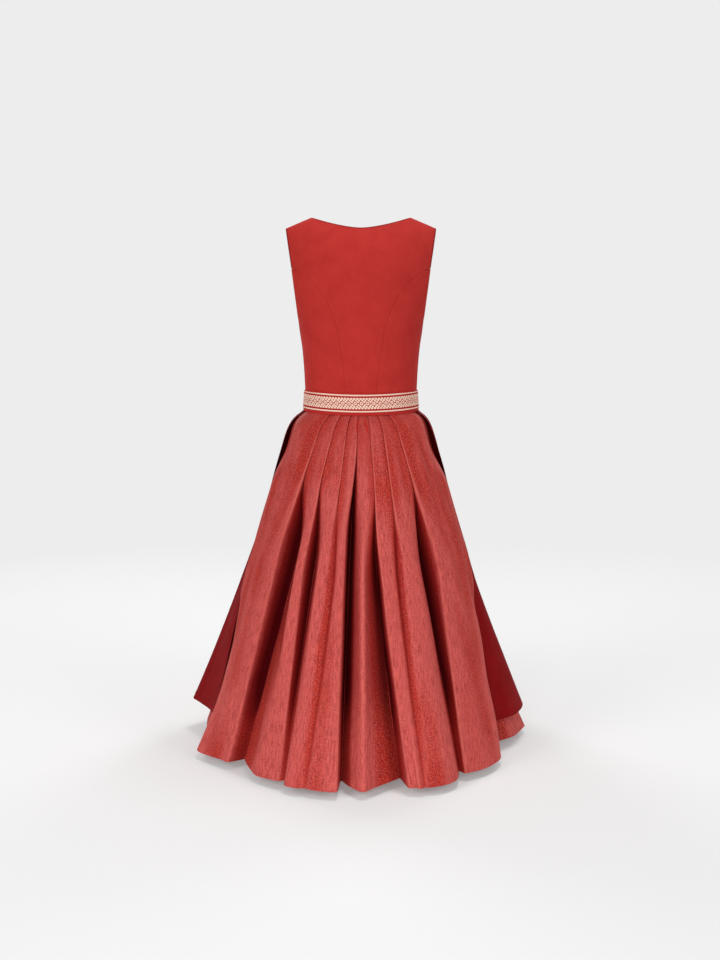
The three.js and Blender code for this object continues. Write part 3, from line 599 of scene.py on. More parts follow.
def front_panel(u, v, under):
    """The middle of a front. u runs from the centre front's lap outwards, its first part in even
    distances from the centre; v runs up the centre front and on round the neckline."""
    straight = len(FRONT_SEAM) - 1
    last = straight + FRONT_UPPER
    row = (v * last)[:, None]
    edge = outer_edge(front_seam, straight, shoulder_rise("front", 1.0), FRONT_UPPER)
    outer_across, outer_rise = edge(row)
    height = lerp(WAIST_SEAM, FRONT_NECK, np.minimum(row / straight, 1))
    centre = place_of("front", 0 * height, height)
    round_neck = neckline((row - straight) / FRONT_UPPER)
    inner_across = np.where(row <= straight, centre[0], round_neck[0])
    inner_rise = np.where(row <= straight, centre[1], round_neck[1])
    aside = lerp(-LAP, DIP_END + DIP_FADE, np.minimum(u / LAP_SHARE, 1))[None, :]
    above = np.clip(row - straight, 0, 1)
    top = np.clip(row - (last - 1), 0, 1)
    start = inner_across + (aside + above * LAP) / ARC * (1 - 0.2 * top)
    share = np.clip((u - LAP_SHARE) / (1 - LAP_SHARE), 0, 1)[None, :]
    across = lerp(start, outer_across, share)
    off = (across - inner_across) / (outer_across - inner_across)
    rise = lerp(lerp(inner_rise, outer_rise, off), shoulder_rise("front", across), top)
    middle = on_figure("front", across, rise)
    if under:
        normal, _ = outward(middle)
        dip = 1 - smoothstep(aside, DIP_END, DIP_END + DIP_FADE)
        dip = dip * (1 - smoothstep(row, straight, straight + 1)) * (BODICE_CLOTH + UNDER_GAP)
        middle = middle - normal * dip[..., None]
    return middle


for side, way in SIDES:
    columns, rows, under = spaced(56, 0.003), spaced(120), side == "left"
    middle = worn(front_panel(columns, rows, under), FRONT_CREASES, 21 if under else 22, 0.3)
    round_neck = smoothstep(rows, 0.62, 0.66)[:, None]
    middle = faced_edge(middle, lerp(FAR, lengths(middle, 1), round_neck))
    below = 1 - smoothstep(rows, 0.57, 0.62)[:, None, None]
    middle = lerp(middle, seamed(middle, [-1], 9), below)
    piece = shell(f"bodice_front_{side}", middle * [way, 1, 1], BODICE_CLOTH)
    piece.data.materials.append(BODICE)
    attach(piece, "root")
    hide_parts(f"front_{side}")

# ---------------------------------------------------------------- the buttons
# Eight small moulds covered with the bodice's cotton, gathered in behind. They are sewn down the
# centre front, on the right front's lap.
BUTTONS = dict(count=8, radius=6, height=3.4, top=-141, bottom=-383)
# The half section from the back's centre to the crown: the share of the way, of the radius and of the
# height at each point.
BUTTON_SECTION = np.array(
    [(0, 0, 0), (0.18, 0.5, 0), (0.34, 0.9, 0.06), (0.46, 1, 0.3), (0.58, 0.97, 0.62)]
    + [(0.74, 0.72, 0.88), (0.88, 0.38, 0.98), (1, 0, 1)]
)


def covered_button(u, v):
    """A button's surface: its half section carried round its axis. v runs from the back's centre to
    the crown, u round it."""
    way, across, up = BUTTON_SECTION.T
    turn = 2 * np.pi * u[None, :]
    r = BUTTONS["radius"] * along(way, across)(v)[:, None]
    h = BUTTONS["height"] * along(way, up)(v)[:, None]
    return np.stack([r * np.cos(turn), r * np.sin(turn), h + 0 * turn], -1)


def sewn_up(mesh):
    """Merges a mesh's doubled points and turns all its faces outwards."""
    made = bmesh.new()
    made.from_mesh(mesh)
    bmesh.ops.remove_doubles(made, verts=made.verts, dist=1e-6)
    bmesh.ops.recalc_face_normals(made, faces=made.faces)
    made.to_mesh(mesh)
    made.free()
    mesh.polygons.foreach_set("use_smooth", np.ones(len(mesh.polygons), bool))


for k, f in enumerate(np.linspace(0, 1, BUTTONS["count"])):
    z = lerp(BUTTONS["top"], BUTTONS["bottom"], f)
    seat, above = (on_figure("front", 1e-6, place_of("front", 0.0, at)[1]) for at in (z, z + 5))
    upwards = (above - seat) / np.linalg.norm(above - seat)
    out = np.cross([1, 0, 0], upwards)
    out = out if out[1] < 0 else -out
    dome = covered_button(np.linspace(0, 1, 29)[:-1], np.linspace(0, 1, 15))
    dome = dome @ np.array([[1, 0, 0], upwards, out])
    points = dome + [0, seat[1], z] + out * (BODICE_CLOTH / 2 + 0.1)
    rings, around = points.shape[:2]
    index = np.arange(rings * around).reshape(rings, around)
    after = np.roll(index, -1, axis=1)
    faces = np.stack([index[:-1], after[:-1], after[1:], index[1:]], -1).reshape(-1, 4)
    mesh = bpy.data.meshes.new(f"covered_button_{k + 1}")
    mesh.from_pydata((points.reshape(-1, 3) / 1000).tolist(), [], faces.tolist())
    piece = bpy.data.objects.new(mesh.name, mesh)
    bpy.context.scene.collection.objects.link(piece)
    sewn_up(mesh)
    corner, at = np.empty(len(mesh.loops), np.int32), np.empty(3 * len(mesh.vertices))
    mesh.loops.foreach_get("vertex_index", corner)
    mesh.vertices.foreach_get("co", at)
    flat = at.reshape(-1, 3)[corner][:, [0, 2]]
    mesh.uv_layers.new(name="cloth").data.foreach_set("uv", flat.ravel())
    mesh.materials.append(BODICE)
    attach(piece, "root")
    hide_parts(f"button_{k + 1}")

# ---------------------------------------------------------------- the back of the skirt
# Shot cloth of pink and orange-red, with small slubs. Its colour carries painted light: pink sheen on
# faces that look out, orange-red where they turn aside, painted shade in the folds and painted highlights
# on their crests. It is pressed into knife pleats that face the centre back, sewn down at the waist, and
# opens below them into deep flutes.
SKIRT_TOP, FLARE_TOP, SKIRT_HEM = -419, -447, -1205
SET, MID, SEAM_ANGLE = -610, -790, 95
SKIRT_CLOTH = 0.8
# The outline is an ellipse at each height. For each way from its axis: the reach at the waist seam
# and under the band, then a quick kick below it, how fast that comes, and a steady and a late flare.
FLARE = {
    "side": (129, 132.5, 28.5, 48, 208, 22),
    "back": (86, 89, 22, 12, 230, 72),
    "front": (93, 96, 30, 14, 200, 62),
}
sway = along([-447, -500, -700, -1000, -1205], [0, 2.5, 3, 6, 6])


def fall_share(z):
    """0 under the waistband to 1 at the hem."""
    return np.clip((FLARE_TOP - z) / (FLARE_TOP - SKIRT_HEM), 0, 1)


def flare(way, z):
    """The reach at a height: a straight rise under the band, an exponential kick, and a parabola."""
    waist, top, kick, rate, steady, late = FLARE[way]
    s, above = fall_share(z), np.clip((SKIRT_TOP - z) / (SKIRT_TOP - FLARE_TOP), 0, 1)
    return lerp(waist, top, above) + kick * (1 - np.exp(-rate * s)) + steady * s + late * s * s


def on_skirt(angle, inside, z):
    """Plan points at an angle from the centre back, in degrees to the wearer's left, a distance
    inside the ellipse of that height."""
    turned = np.radians(angle)
    across = flare("side", z) * np.sin(turned)
    deep = np.where(np.cos(turned) > 0, flare("back", z), flare("front", z)) * np.cos(turned)
    kept = 1 - inside / np.hypot(across, deep)
    return np.stack([across * kept + sway(z) * np.sin(turned) ** 2, deep * kept], -1)


def degrees_per(angle, z):
    """Degrees to a millimetre round the outline."""
    step = on_skirt(angle, 0, z) - on_skirt(angle + 1, 0, z)
    return 1 / np.linalg.norm(step, axis=-1)


def fold_line(angles, insides, z, pieces):
    """Points through folds at each height: a centripetal Catmull-Rom curve through the folds' plan
    points, with the given number of pieces to each stretch. Also gives the angle of each point."""
    knot = on_skirt(angles, insides, z[:, None])
    ends = 2 * knot[:, [0, -1]] - knot[:, [1, -2]]
    knot = np.concatenate([ends[:, :1], knot, ends[:, 1:]], 1)
    gap = np.linalg.norm(np.diff(knot, axis=1), axis=-1, keepdims=True) ** 0.5
    stretch = np.repeat(np.arange(len(pieces)), pieces)
    f = np.concatenate([np.arange(n) / n for n in pieces])
    stretch, f = np.append(stretch, len(pieces) - 1), np.append(f, 1.0)[None, :, None]
    p0, p1, p2, p3 = (knot[:, stretch + k] for k in range(4))
    g0, g1, g2 = (gap[:, stretch + k] for k in range(3))
    t1 = ((p1 - p0) / g0 - (p2 - p0) / (g0 + g1) + (p2 - p1) / g1) * g1
    t2 = ((p2 - p1) / g1 - (p3 - p1) / (g1 + g2) + (p3 - p2) / g2) * g1
    plan = p1 + f * t1 + f**2 * (3 * (p2 - p1) - 2 * t1 - t2) + f**3 * (2 * (p1 - p2) + t1 + t2)
    height = np.broadcast_to(z[:, None, None], plan[..., :1].shape)
    angle = lerp(angles[:, stretch], angles[:, stretch + 1], f[..., 0])
    return np.concatenate([plan, height], -1), angle


# Each pleat, from the outermost on the wearer's left to the outermost on their right. side; lap, how far
# the cloth goes back under its edge; opens, the height where it parts; line, the edge's angle at the
# waist, at SET, at MID and at the hem. Then, at MID and at the hem, the flute's ridge (angle, depth
# inside the outline), the groove's root (depth), the next face's shoulder (angle, depth) and middle
# (depth). Angles are in degrees from the centre back, to the pleat's own side.
Pleat = namedtuple("Pleat", "side lap opens line mid hem")
PLEATS = [
    (1, 20, -530, (33, 40.5, 39.8, 41), (49, 1, 44, 37.4, 18, 1), (54, 26, 55, 37.6, 21, 19)),
    (1, 15, -550, (20.6, 27, 25.4, 25.8), (30.2, 0, 34, 23.9, 12, 0), (28.4, 19, 27, 24.3, 2, -2)),
    (1, 9, -560, (10.8, 13.6, 14.4, 17.8), (18.2, 0, 12, 13.2, 5, 0), (20, -2, 4, 16.4, -1, -5)),
    (1, 8, -490, (3.4, 3, 4.3, 6), (8.4, 0, 46, 2.5, 14, -1), (7.4, -5, 50, 3.4, 28, 0)),
    (-1, 8, -590, (7, 8.6, 6.4, 9), (10.4, 1, 38, 4.2, 14, 0), (15.6, 5, 56, 4.6, 26, 0)),
    (-1, 13, -580, (17.2, 19.4, 19.4, 20.4), (23.2, 0, 17, 17.9, 6, 0), (22.8, -4, 2, 18.8, -2, 0)),
    (-1, 18, -550, (29, 36, 37, 35), (43.6, 1, 42, 34.6, 16, 0), (39.2, 26, 38, 33.2, 11, -2)),
]
PLEATS = [Pleat(*row) for row in PLEATS]
LAYER, CREASE, EMERGE = 1.9, 1.3, 2.2  # between layers, round a fold, and out past the edge
OPENING_FALL, LAP_KEPT = 230, 0.4  # the fall in which a pleat opens, and the lap it keeps
UNDERCUT, DEEPER = 0.9, 1.3  # how far a deep groove's root lies back under its flute, and deeper


def all_down(values, z, heights=(FLARE_TOP, SET, MID, SKIRT_HEM)):
    """A value given at set heights, as a smooth curve down the skirt."""
    return along(heights, values)(z)


def pleat_folds(pleat, z):
    """The seven folds of a pleat at each height. Closed, it lies flat in an S: the edge, the crease
    under it and the next face coming out. Open, it is a ridge, a root and a shoulder. The two
    are mixed by how far below its opening the height is."""
    side, lap, opens, line, mid, hem = pleat
    ridge_at, ridge_in, root_in, shoulder, shoulder_in, _ = (
        all_down(pair, z, (MID, SKIRT_HEM)) for pair in zip(mid, hem)
    )
    degrees = side * degrees_per(side * line[0], z)
    edge = side * all_down(line, z)
    beyond = [other.line[0] - line[0] for other in PLEATS if other.side == side]
    beyond = [gap for gap in beyond if gap > 0]
    slope = 2 * LAYER * np.abs(degrees) / min(beyond) if beyond else 0 * z
    opening = smoothstep(opens - z, 0, OPENING_FALL)
    lap = lap * lerp(1, LAP_KEPT, opening)
    closed_along = [CREASE, 0, CREASE, lap - CREASE, lap, lap - CREASE, -EMERGE]
    closed_in = [
        slope * CREASE,
        LAYER / 2,
        LAYER,
        LAYER + slope * lap,
        1.5 * LAYER + slope * lap,
        2 * LAYER + slope * lap,
        1.9 * LAYER,
    ]
    root = side * edge
    turn = 0.75 * LAYER * degrees_per(root, z)
    soft = np.clip(0.35 * (ridge_at - root), 0.7, 3)
    deep = smoothstep(root_in, 20, 36)
    root = lerp(root, ridge_at, UNDERCUT * deep)
    root_in = root_in * lerp(1, DEEPER, deep)
    halfway = lerp(ridge_at, root, 0.5)
    open_at = [ridge_at + soft, ridge_at, halfway, root + turn, root, root - turn, shoulder]
    open_in = [
        ridge_in,
        lerp(ridge_in, root_in, 0.05),
        lerp(ridge_in, root_in, 0.42),
        root_in - CREASE,
        root_in,
        root_in - CREASE,
        shoulder_in,
    ]
    angle = [lerp(edge + a * degrees, side * b, opening) for a, b in zip(closed_along, open_at)]
    inside = [lerp(a, b, opening) for a, b in zip(closed_in, open_in)]
    return (angle, inside) if side > 0 else (angle[::-1], inside[::-1])


# Broad folds between the outermost pleats and the side seams: the angle and the depth inside the
# outline at each of the side's heights. Both sides lie in over the hip, where the apron shows.
LEFT_HEIGHTS = (FLARE_TOP, -520, SET, MID, -1060, SKIRT_HEM)
LEFT_FOLDS = [
    (6 * (SEAM_ANGLE,), (3, 14, 4, 5, 20, 26)),
    ((88, 88, 88, 91, 89, 88), (4, 12, 2, 1, 30, 32)),
    ((81, 82, 82, 86, 85, 80), (4, 11, -1, -1, 37, 40)),
    ((76, 77, 77, 80, 78, 74), (3, 10, -3, -2, 28, 14)),
    ((67, 69, 70, 73, 71, 69), (0, 5, -3, -1, 15, -2)),
    ((51, 54, 56, 61, 62, 62.4), (0, 0, 0, 0, 12, 13)),
]
RIGHT_HEIGHTS = (FLARE_TOP, -520, SET, -780, -950, SKIRT_HEM)
RIGHT_FOLDS = [
    ((-45, -47, -49, -54, -51.5, -46), (0, 0, 0, 0, 6, 19)),
    ((-62, -64, -66, -68, -64.5, -57), (0, 3, -2, 0, 6, 19)),
    ((-71, -72, -73, -75, -70, -61), (4, 12, -3, 0, 11, 27)),
    ((-77, -78, -80, -81, -75, -67), (6, 15, -1, -1, 28, 54)),
    ((-83, -84, -85, -87, -81, -75), (5, 15, 2, 0, 38, 62)),
    ((-89, -89, -90, -92, -87.5, -84), (4, 15, 3, 3, 32, 24)),
    (6 * (-SEAM_ANGLE,), (3, 15, 4, 6, 14, -10)),
]


def back_folds(z):
    """All the folds across the back: the sides, the pleats, and one in the middle of each face
    between two pleats. Also the share of each fold that is free cloth rather than pressed layers."""
    pleats = [pleat_folds(pleat, z) for pleat in PLEATS]
    angle = [all_down(a, z, LEFT_HEIGHTS) for a, _ in LEFT_FOLDS]
    inside = [all_down(i, z, LEFT_HEIGHTS) for _, i in LEFT_FOLDS]
    free = [1 + 0 * z for _ in LEFT_FOLDS]
    for k, (pleat, (at, deep)) in enumerate(zip(PLEATS, pleats)):
        angle, inside = angle + at, inside + deep
        free = free + len(at) * [0.6 * smoothstep(pleat.opens - z, 60, OPENING_FALL)]
        if k < len(PLEATS) - 1:
            faced = PLEATS[k] if pleat.side > 0 else PLEATS[k + 1]
            angle = angle + [(at[-1] + pleats[k + 1][0][0]) / 2]
            inside = inside + [all_down((LAYER, LAYER, faced.mid[-1], faced.hem[-1]), z)]
            free = free + [smoothstep(FLARE_TOP - z, 2, 20)]
    angle = angle + [all_down(a, z, RIGHT_HEIGHTS) for a, _ in RIGHT_FOLDS]
    inside = inside + [all_down(i, z, RIGHT_HEIGHTS) for _, i in RIGHT_FOLDS]
    free = free + [1 + 0 * z for _ in RIGHT_FOLDS]
    return np.stack(angle, 1), np.stack(inside, 1), np.stack(free, 1)


def pieces_for(angles, insides, z, size):
    """How many pieces each stretch between two folds takes, for pieces of a size at its longest."""
    knot = on_skirt(angles, insides, z[:, None])
    long = np.linalg.norm(np.diff(knot, axis=1), axis=-1).max(0)
    return np.clip(np.round(long / size), 2, 24).astype(int)


def drawn_in(middle, gap):
    """A grid with its first and last columns drawn towards their neighbours, clear of the seam."""
    middle = middle.copy()
    for end, nearer in ((0, 1), (-1, -2)):
        step = middle[:, nearer] - middle[:, end]
        long = np.linalg.norm(step, axis=-1, keepdims=True)
        middle[:, end] += step * gap / long
    return middle


def steps_down(top, hem, count):
    """Heights from the top edge to the hem in even steps, closer in the last millimetre."""
    even = np.linspace(top, hem, count)[1:-1]
    return np.concatenate([[top, top - 0.3], even, [hem + 0.35, hem + 0.1, hem]])


def shot(middle, angle):
    """Marks at each point for the light and shade painted into the skirt's colour: turned, the cosine
    between its face and the skirt's plain outline, for painted pink sheen where it looks out and painted
    shade where it turns aside; sunk, how far inside that the pleats' cloth lies, in millimetres, for
    painted shade deep in the folds; raised, how far it stands out from the mean of the twelve columns to
    each side, for painted sheen on ridges; and crest, how sharply it bends outwards, from 0 to 1 at a
    radius of 4 mm, below the waistband, for a painted highlight. The first two ease off by 0.6 above the
    hem, where the folds hang open."""
    plan = on_skirt(angle, 0, middle[..., 2])
    plain, _ = outward(np.concatenate([plan, middle[..., 2:]], -1))
    normal, _ = outward(middle)
    run = np.gradient(middle, axis=1)
    long = np.maximum(np.linalg.norm(run, axis=-1), 1e-6)
    bend = (np.gradient(normal, axis=1) * run).sum(-1) / long**2
    sunk = np.linalg.norm(plan - middle[..., :2], axis=-1)
    reach = 12
    wide = np.pad(sunk, ((0, 0), (reach, reach)), "edge")
    around = sum(wide[:, k : k + sunk.shape[1]] for k in range(2 * reach + 1)) / (2 * reach + 1)
    pleated = 1 - smoothstep(np.abs(angle), 58, 68)
    opened = 0.6 * smoothstep(-middle[..., 2], 1010, 1150)
    return {
        "turned": lerp((normal * plain).sum(-1), 1, opened),
        "sunk": sunk * pleated * (1 - opened),
        "raised": around - sunk,
        "crest": np.clip(4 * bend, 0, 1) * smoothstep(FLARE_TOP - middle[..., 2], 12, 70),
    }


def skirt_finish():
    """Shot taffeta of pink and orange-red, with light and shade painted into its colour: pink painted
    sheen on faces that look out and on ridges, orange-red where they turn aside, painted shade of deep
    wine red on the walls of its folds, darkest deep inside them, a pale painted highlight on its pressed
    crests, and orange-red painted on the tucks under the waistband. Fine threads run both ways, with
    small dark and light slubs."""
    f = Finish("shot_taffeta")
    place = f.node("ShaderNodeTexCoord", (), (), "Object")
    cloth = f.node("ShaderNodeUVMap", {"uv_map": "cloth"})
    fine = f.noise(f.stretched(cloth, (420.0, 300.0, 1.0)), 1.0, 3.0, 0.65)
    down = f.noise(f.stretched(cloth, (460.0, 40.0, 1.0)), 1.0, 3.0, 0.6)
    clouds = f.noise(place, 9.0, 1.5, 0.5)
    specks = f.noise(f.stretched(cloth, (200.0, 210.0, 1.0)), 1.0, 1.0, 0.4)
    flecks = f.noise(f.stretched(cloth, (180.0, 250.0, 1.0)), 1.0, 1.0, 0.4)
    patches = f.noise(f.stretched(cloth, (26.0, 4.0, 1.0)), 1.0, 1.5, 0.5)
    turned, patched = f.mark("turned"), (patches - 0.5) * 0.6 + (clouds - 0.5) * 0.5
    # Painted sheen: pink where a face looks out or stands out from its neighbours, orange-red where it
    # turns aside, with random patches.
    outer = f.ramp(f.mark("raised") * 0.12 + turned + patched, 0.88, 1.4)
    base = f.mix(outer, colour(172, 36, 20), colour(200, 84, 78))
    base = f.mix(f.ramp(down, 0.42, 0.62) * 0.6, base, colour(128, 22, 28))
    base = f.mix(f.ramp(fine, 0.46, 0.62) * 0.55, base, colour(208, 98, 92))
    base = f.mix(f.ramp(specks, 0.66, 0.78) * 0.5, base, colour(96, 12, 18))
    base = f.mix(f.ramp(flecks, 0.66, 0.78) * 0.4, base, colour(222, 128, 108))
    # Painted shade: wine red on walls turned aside, darker still deep in the folds.
    wall_shade = f.ramp(turned, 0.9, 0.5)
    base = f.mix(wall_shade * 0.65, base, colour(128, 8, 10))
    base = f.mix(wall_shade * f.ramp(f.mark("sunk"), 14.0, 42.0), base, colour(80, 2, 8))
    # Painted highlight: a pale line on the pressed crests.
    base = f.mix(f.ramp(f.mark("crest"), 0.25, 0.9) * 0.45, base, colour(218, 112, 100))
    # Painted light: orange-red lines on the tucks, as on faces turned aside.
    base = f.mix(f.ramp(f.mark("tuck"), 0.25, 0.8) * 0.85, base, colour(196, 36, 26))
    weave = threads(f, cloth, 0.0005, 0.0005)
    normal = f.bump(weave, 0.0001, 0.5)
    normal = f.bump(down * 0.5 + fine, 0.0004, 0.35, normal)
    normal = f.bump(f.noise(place, 60.0, 3.0, 0.6), 0.0012, 0.3, normal)
    return f.finish(
        Base_Color=base,
        Roughness=0.56 + 0.14 * fine,
        Normal=normal,
        Specular_IOR_Level=0.1,
    )


SKIRT = skirt_finish()
# Creases of the skirt's back. x is the distance round from the centre back at the hips, to the
# wearer's left: tucks that run out from under the waistband, drags and soft dents lower down.
HIPS = 190  # the radius that makes an angle such a distance
SKIRT_CREASES = [
    (31, -446, 44, -484, 4.0, -2.6),
    (4, -446, -18, -490, 4.0, -3.0),
    (14, -448, 2, -488, 4.5, 1.6),
    (-34, -448, -47, -480, 4.5, 1.4),
    (62, -450, 60, -476, 4.0, 0.7),
    (-74, -451, -70, -470, 4.0, 0.7),
    (92, -450, 104, -492, 5.0, 0.9),
    (150, -470, 186, -640, 12, 2.0),
    (196, -500, 216, -700, 12, 1.6),
    (-160, -470, -200, -620, 12, 1.8),
    (118, -640, 150, -900, 15, 1.6),
    (-120, -700, -138, -930, 14, 1.4),
    (-196, -640, -222, -880, 14, -1.6),
    (230, -760, 244, -1010, 16, 1.8),
    (172, -900, 190, -1130, 18, -1.8),
    (-86, -860, -96, -1060, 12, 1.0),
    (60, -820, 68, -1040, 11, 0.9),
    (36, -700, 40, -880, 8, 0.6),
    (-46, -720, -52, -960, 9, 0.8),
    (-170, -960, -176, -1150, 16, 1.6),
]


def hung(middle, angle, free, table, seed, most):
    """Cloth with its creases and a slow unevenness, longer down than across, where it is free. At the
    hips it starts 5 mm higher, as the waistband does."""
    z = middle[..., 2]
    near = smoothstep(SKIRT_TOP - z, 4, 18) * (1 - smoothstep(FLARE_TOP - z, 0, 110))
    middle = middle + [0, 0, 5] * (near * np.sin(np.radians(angle)) ** 2)[..., None]
    normal, _ = outward(middle)
    x, z = np.radians(angle) * HIPS, middle[..., 2]
    slow = most * rumple(x * 2.2, z * 0.55, 120, seed) * smoothstep(FLARE_TOP - z, 20, 120)
    return middle - normal * ((hollows(x, z, table) + slow) * free)[..., None]


z = steps_down(SKIRT_TOP, SKIRT_HEM, 118)
angles, insides, free = back_folds(z)
pieces = pieces_for(angles, insides, z, 5.0)
middle, angle = fold_line(angles, insides, z, pieces)
middle = drawn_in(middle, 0.45)
stretch = np.append(np.repeat(np.arange(len(pieces)), pieces), len(pieces) - 1)
f = np.append(np.concatenate([np.arange(n) / n for n in pieces]), 1.0)
loose = lerp(free[:, stretch], free[:, stretch + 1], f)
loose = loose * smoothstep(from_edges(middle, 1), 2, 25)
middle = hung(middle, angle, loose, SKIRT_CREASES, 31, 1.3)


def with_the_folds(middle):
    """Cloth coordinates that keep to the folds: across by each column's mean distance, up by length."""
    across, up = lengths(middle, 1), lengths(middle, 0)
    return np.stack([np.broadcast_to(across.mean(0), across.shape), up], -1)


# Tucks pulled sideways by the gathering, on which orange-red is painted as painted light, the tone of
# faces turned aside: a row each, the same columns as the creases, with the mark's strength last.
TUCKS = [
    (6, -448, 15, -482, 3.0, 0.9),
    (-7, -448, -22, -492, 3.2, 1.0),
    (40, -450, 45, -478, 2.6, 0.5),
    (-30, -448, -36, -470, 2.4, 0.5),
]
# These marks set the painted sheen, shade and highlights in the skirt's colour.
marks = shot(middle, angle)
marks["tuck"] = hollows(np.radians(angle) * HIPS, middle[..., 2], TUCKS)
skirt_back = shell("skirt_back_pleated", middle, SKIRT_CLOTH, with_the_folds(middle), marks)
skirt_back.data.materials.append(SKIRT)
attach(skirt_back, "root")
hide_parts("skirt_back")

# ---------------------------------------------------------------- the front of the skirt
# The same shot cloth, gathered evenly into the waistband and sewn to the back at the sides. It falls
# in soft flutes, mostly under the apron.
FLUTE_COUNT, FLUTE_FROM, FLUTE_TO = 9, 108, 256
# How far the flutes' crests lie inside the outline, and how deep their hollows are.
flute_base = along([FLARE_TOP, -560, SKIRT_HEM], [3, 6, 7])
flute_depth = along([FLARE_TOP, -560, MID, SKIRT_HEM], [0.8, 4, 9, 17])


def flutes(z, base):
    """Crests and hollows by turns, at even angles round the front: their angles and depths."""
    at = np.linspace(FLUTE_FROM, FLUTE_TO, 2 * FLUTE_COUNT + 1)
    return [a + 0 * z for a in at], [base + (k % 2) * flute_depth(z) for k in range(len(at))]


z = steps_down(SKIRT_TOP, SKIRT_HEM, 96)
left = all_down(LEFT_FOLDS[0][1], z, LEFT_HEIGHTS)
right = all_down(RIGHT_FOLDS[-1][1], z, RIGHT_HEIGHTS)
wave_at, wave_in = flutes(z, flute_base(z))
angles = [SEAM_ANGLE, SEAM_ANGLE + 6, *wave_at, 360 - SEAM_ANGLE - 4, 360 - SEAM_ANGLE]
insides = [left, lerp(left, flute_base(z), 0.5), *wave_in, lerp(right, flute_base(z), 0.2), right]
angles, insides = np.stack([a + 0 * z for a in angles], 1), np.stack(insides, 1)
middle, angle = fold_line(angles, insides, z, pieces_for(angles, insides, z, 6.5))
middle = drawn_in(middle, 0.45)
loose = smoothstep(from_edges(middle, 1), 2, 30) * fall_share(middle[..., 2]) ** 0.5
middle = hung(middle, angle, loose, [], 37, 1.2)
# These marks set the painted sheen, shade and highlights in the skirt's colour.
marks = shot(middle, angle)
skirt_front = shell("skirt_front_gathered", middle, SKIRT_CLOTH, with_the_folds(middle), marks)
skirt_front.data.materials.append(SKIRT)
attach(skirt_front, "root")
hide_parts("skirt_front")

# ---------------------------------------------------------------- the apron
# Smooth dark red cotton sateen, gathered into the waistband over the skirt's front. Both side edges
# are narrowly hemmed, and the hem is turned up 25 mm and stitched.
APRON_TOP, APRON_HEM, APRON_CLOTH = -422, -1150, 0.8
HEM_STITCHED, SIDE_STITCHED = 24, 7  # the stitched lines, in from the hem and from the side edges
# Its free edges and the folds next to them: the angle, and how much further out than the rest of
# the apron they lie, at each height.
APRON_HEIGHTS = (FLARE_TOP, -540, -640, -770, -930, APRON_HEM)
APRON_LEFT = [
    ((79, 86, 95, 94, 84, 80), (0, 0, -1, -2, -22, -49)),
    ((86, 92, 98, 97, 90, 88), (0, 0, -1, -1, -12, -39)),
    ((93, 97, 100.5, 100, 97, 96), (0, 0, -1, 0, -3, -10)),
    ((100, 102, 103.5, 103.5, 103, 102.5), (0, 0, 0, 4, 9, 20)),
]
APRON_RIGHT = [
    ((262, 260, 257.5, 257.5, 260.5, 262), (0, 0, 0, 0, 0, 3)),
    ((269, 265, 260, 260.5, 267, 270), (0, 0, -1, -1, -4, -3)),
    ((277, 270, 262.5, 263, 274, 278.5), (0, -1, -1, -1, -14, -24)),
    ((284, 275, 265, 266, 281.5, 287), (0, -1, -1, -2, -34, -58)),
]
# Its creases, with x as on the skirt's back.
APRON_CREASES = [
    (302, -560, 312, -760, 9, 1.5),
    (322, -700, 330, -960, 10, 1.6),
    (350, -860, 356, -1090, 12, 1.4),
    (880, -560, 872, -780, 9, 1.5),
    (862, -760, 856, -1000, 10, 1.6),
    (500, -600, 506, -900, 12, 1.2),
    (640, -640, 636, -1000, 12, 1.3),
    (760, -700, 768, -1060, 12, 1.2),
]


def apron_finish():
    """Dark red sateen: a close, smooth weave with a soft sheen and faint threads down its length."""
    f = Finish("apron_sateen")
    place = f.node("ShaderNodeTexCoord", (), (), "Object")
    cloth = f.node("ShaderNodeUVMap", {"uv_map": "cloth"})
    clouds = f.noise(place, 18.0, 3.0, 0.6)
    down = f.noise(f.stretched(cloth, (1100.0, 70.0, 1.0)), 1.0, 3.0, 0.6)
    base = f.mix(f.ramp(clouds, 0.3, 0.7), colour(122, 8, 12), colour(132, 14, 18))
    base = f.mix(f.ramp(down, 0.4, 0.75) * 0.3, base, colour(100, 6, 10))
    weave = threads(f, cloth, 0.00034, 0.0004)
    normal = f.bump(weave, 0.00008, 0.4)
    normal = f.bump(f.noise(place, 90.0, 3.0, 0.6), 0.0006, 0.25, normal)
    return f.finish(
        Base_Color=base, Roughness=0.66 + 0.1 * down, Normal=normal, Specular_IOR_Level=0.05
    )


APRON = apron_finish()
z = steps_down(APRON_TOP, APRON_HEM, 100)
lift = 1.4 + 21 * fall_share(z) ** 2.5
wave_at, wave_in = flutes(z, -lift)
sides = [
    [(all_down(a, z, APRON_HEIGHTS), -lift - all_down(out, z, APRON_HEIGHTS)) for a, out in table]
    for table in (APRON_LEFT, APRON_RIGHT)
]
angles = [a for a, _ in sides[0]] + wave_at[:-1] + [a for a, _ in sides[1]]
insides = [i for _, i in sides[0]] + wave_in[:-1] + [i for _, i in sides[1]]
angles, insides = np.stack(angles, 1), np.stack(insides, 1)
middle, angle = fold_line(angles, insides, z, pieces_for(angles, insides, z, 5.0))
middle = hung(middle, angle, fall_share(middle[..., 2]) ** 0.6, APRON_CREASES, 41, 1.0)
from_side, from_hem = from_edges(middle, 1), lengths(middle, 0)[-1] - lengths(middle, 0)
past_hem, past_side = from_hem - HEM_STITCHED, from_side - SIDE_STITCHED
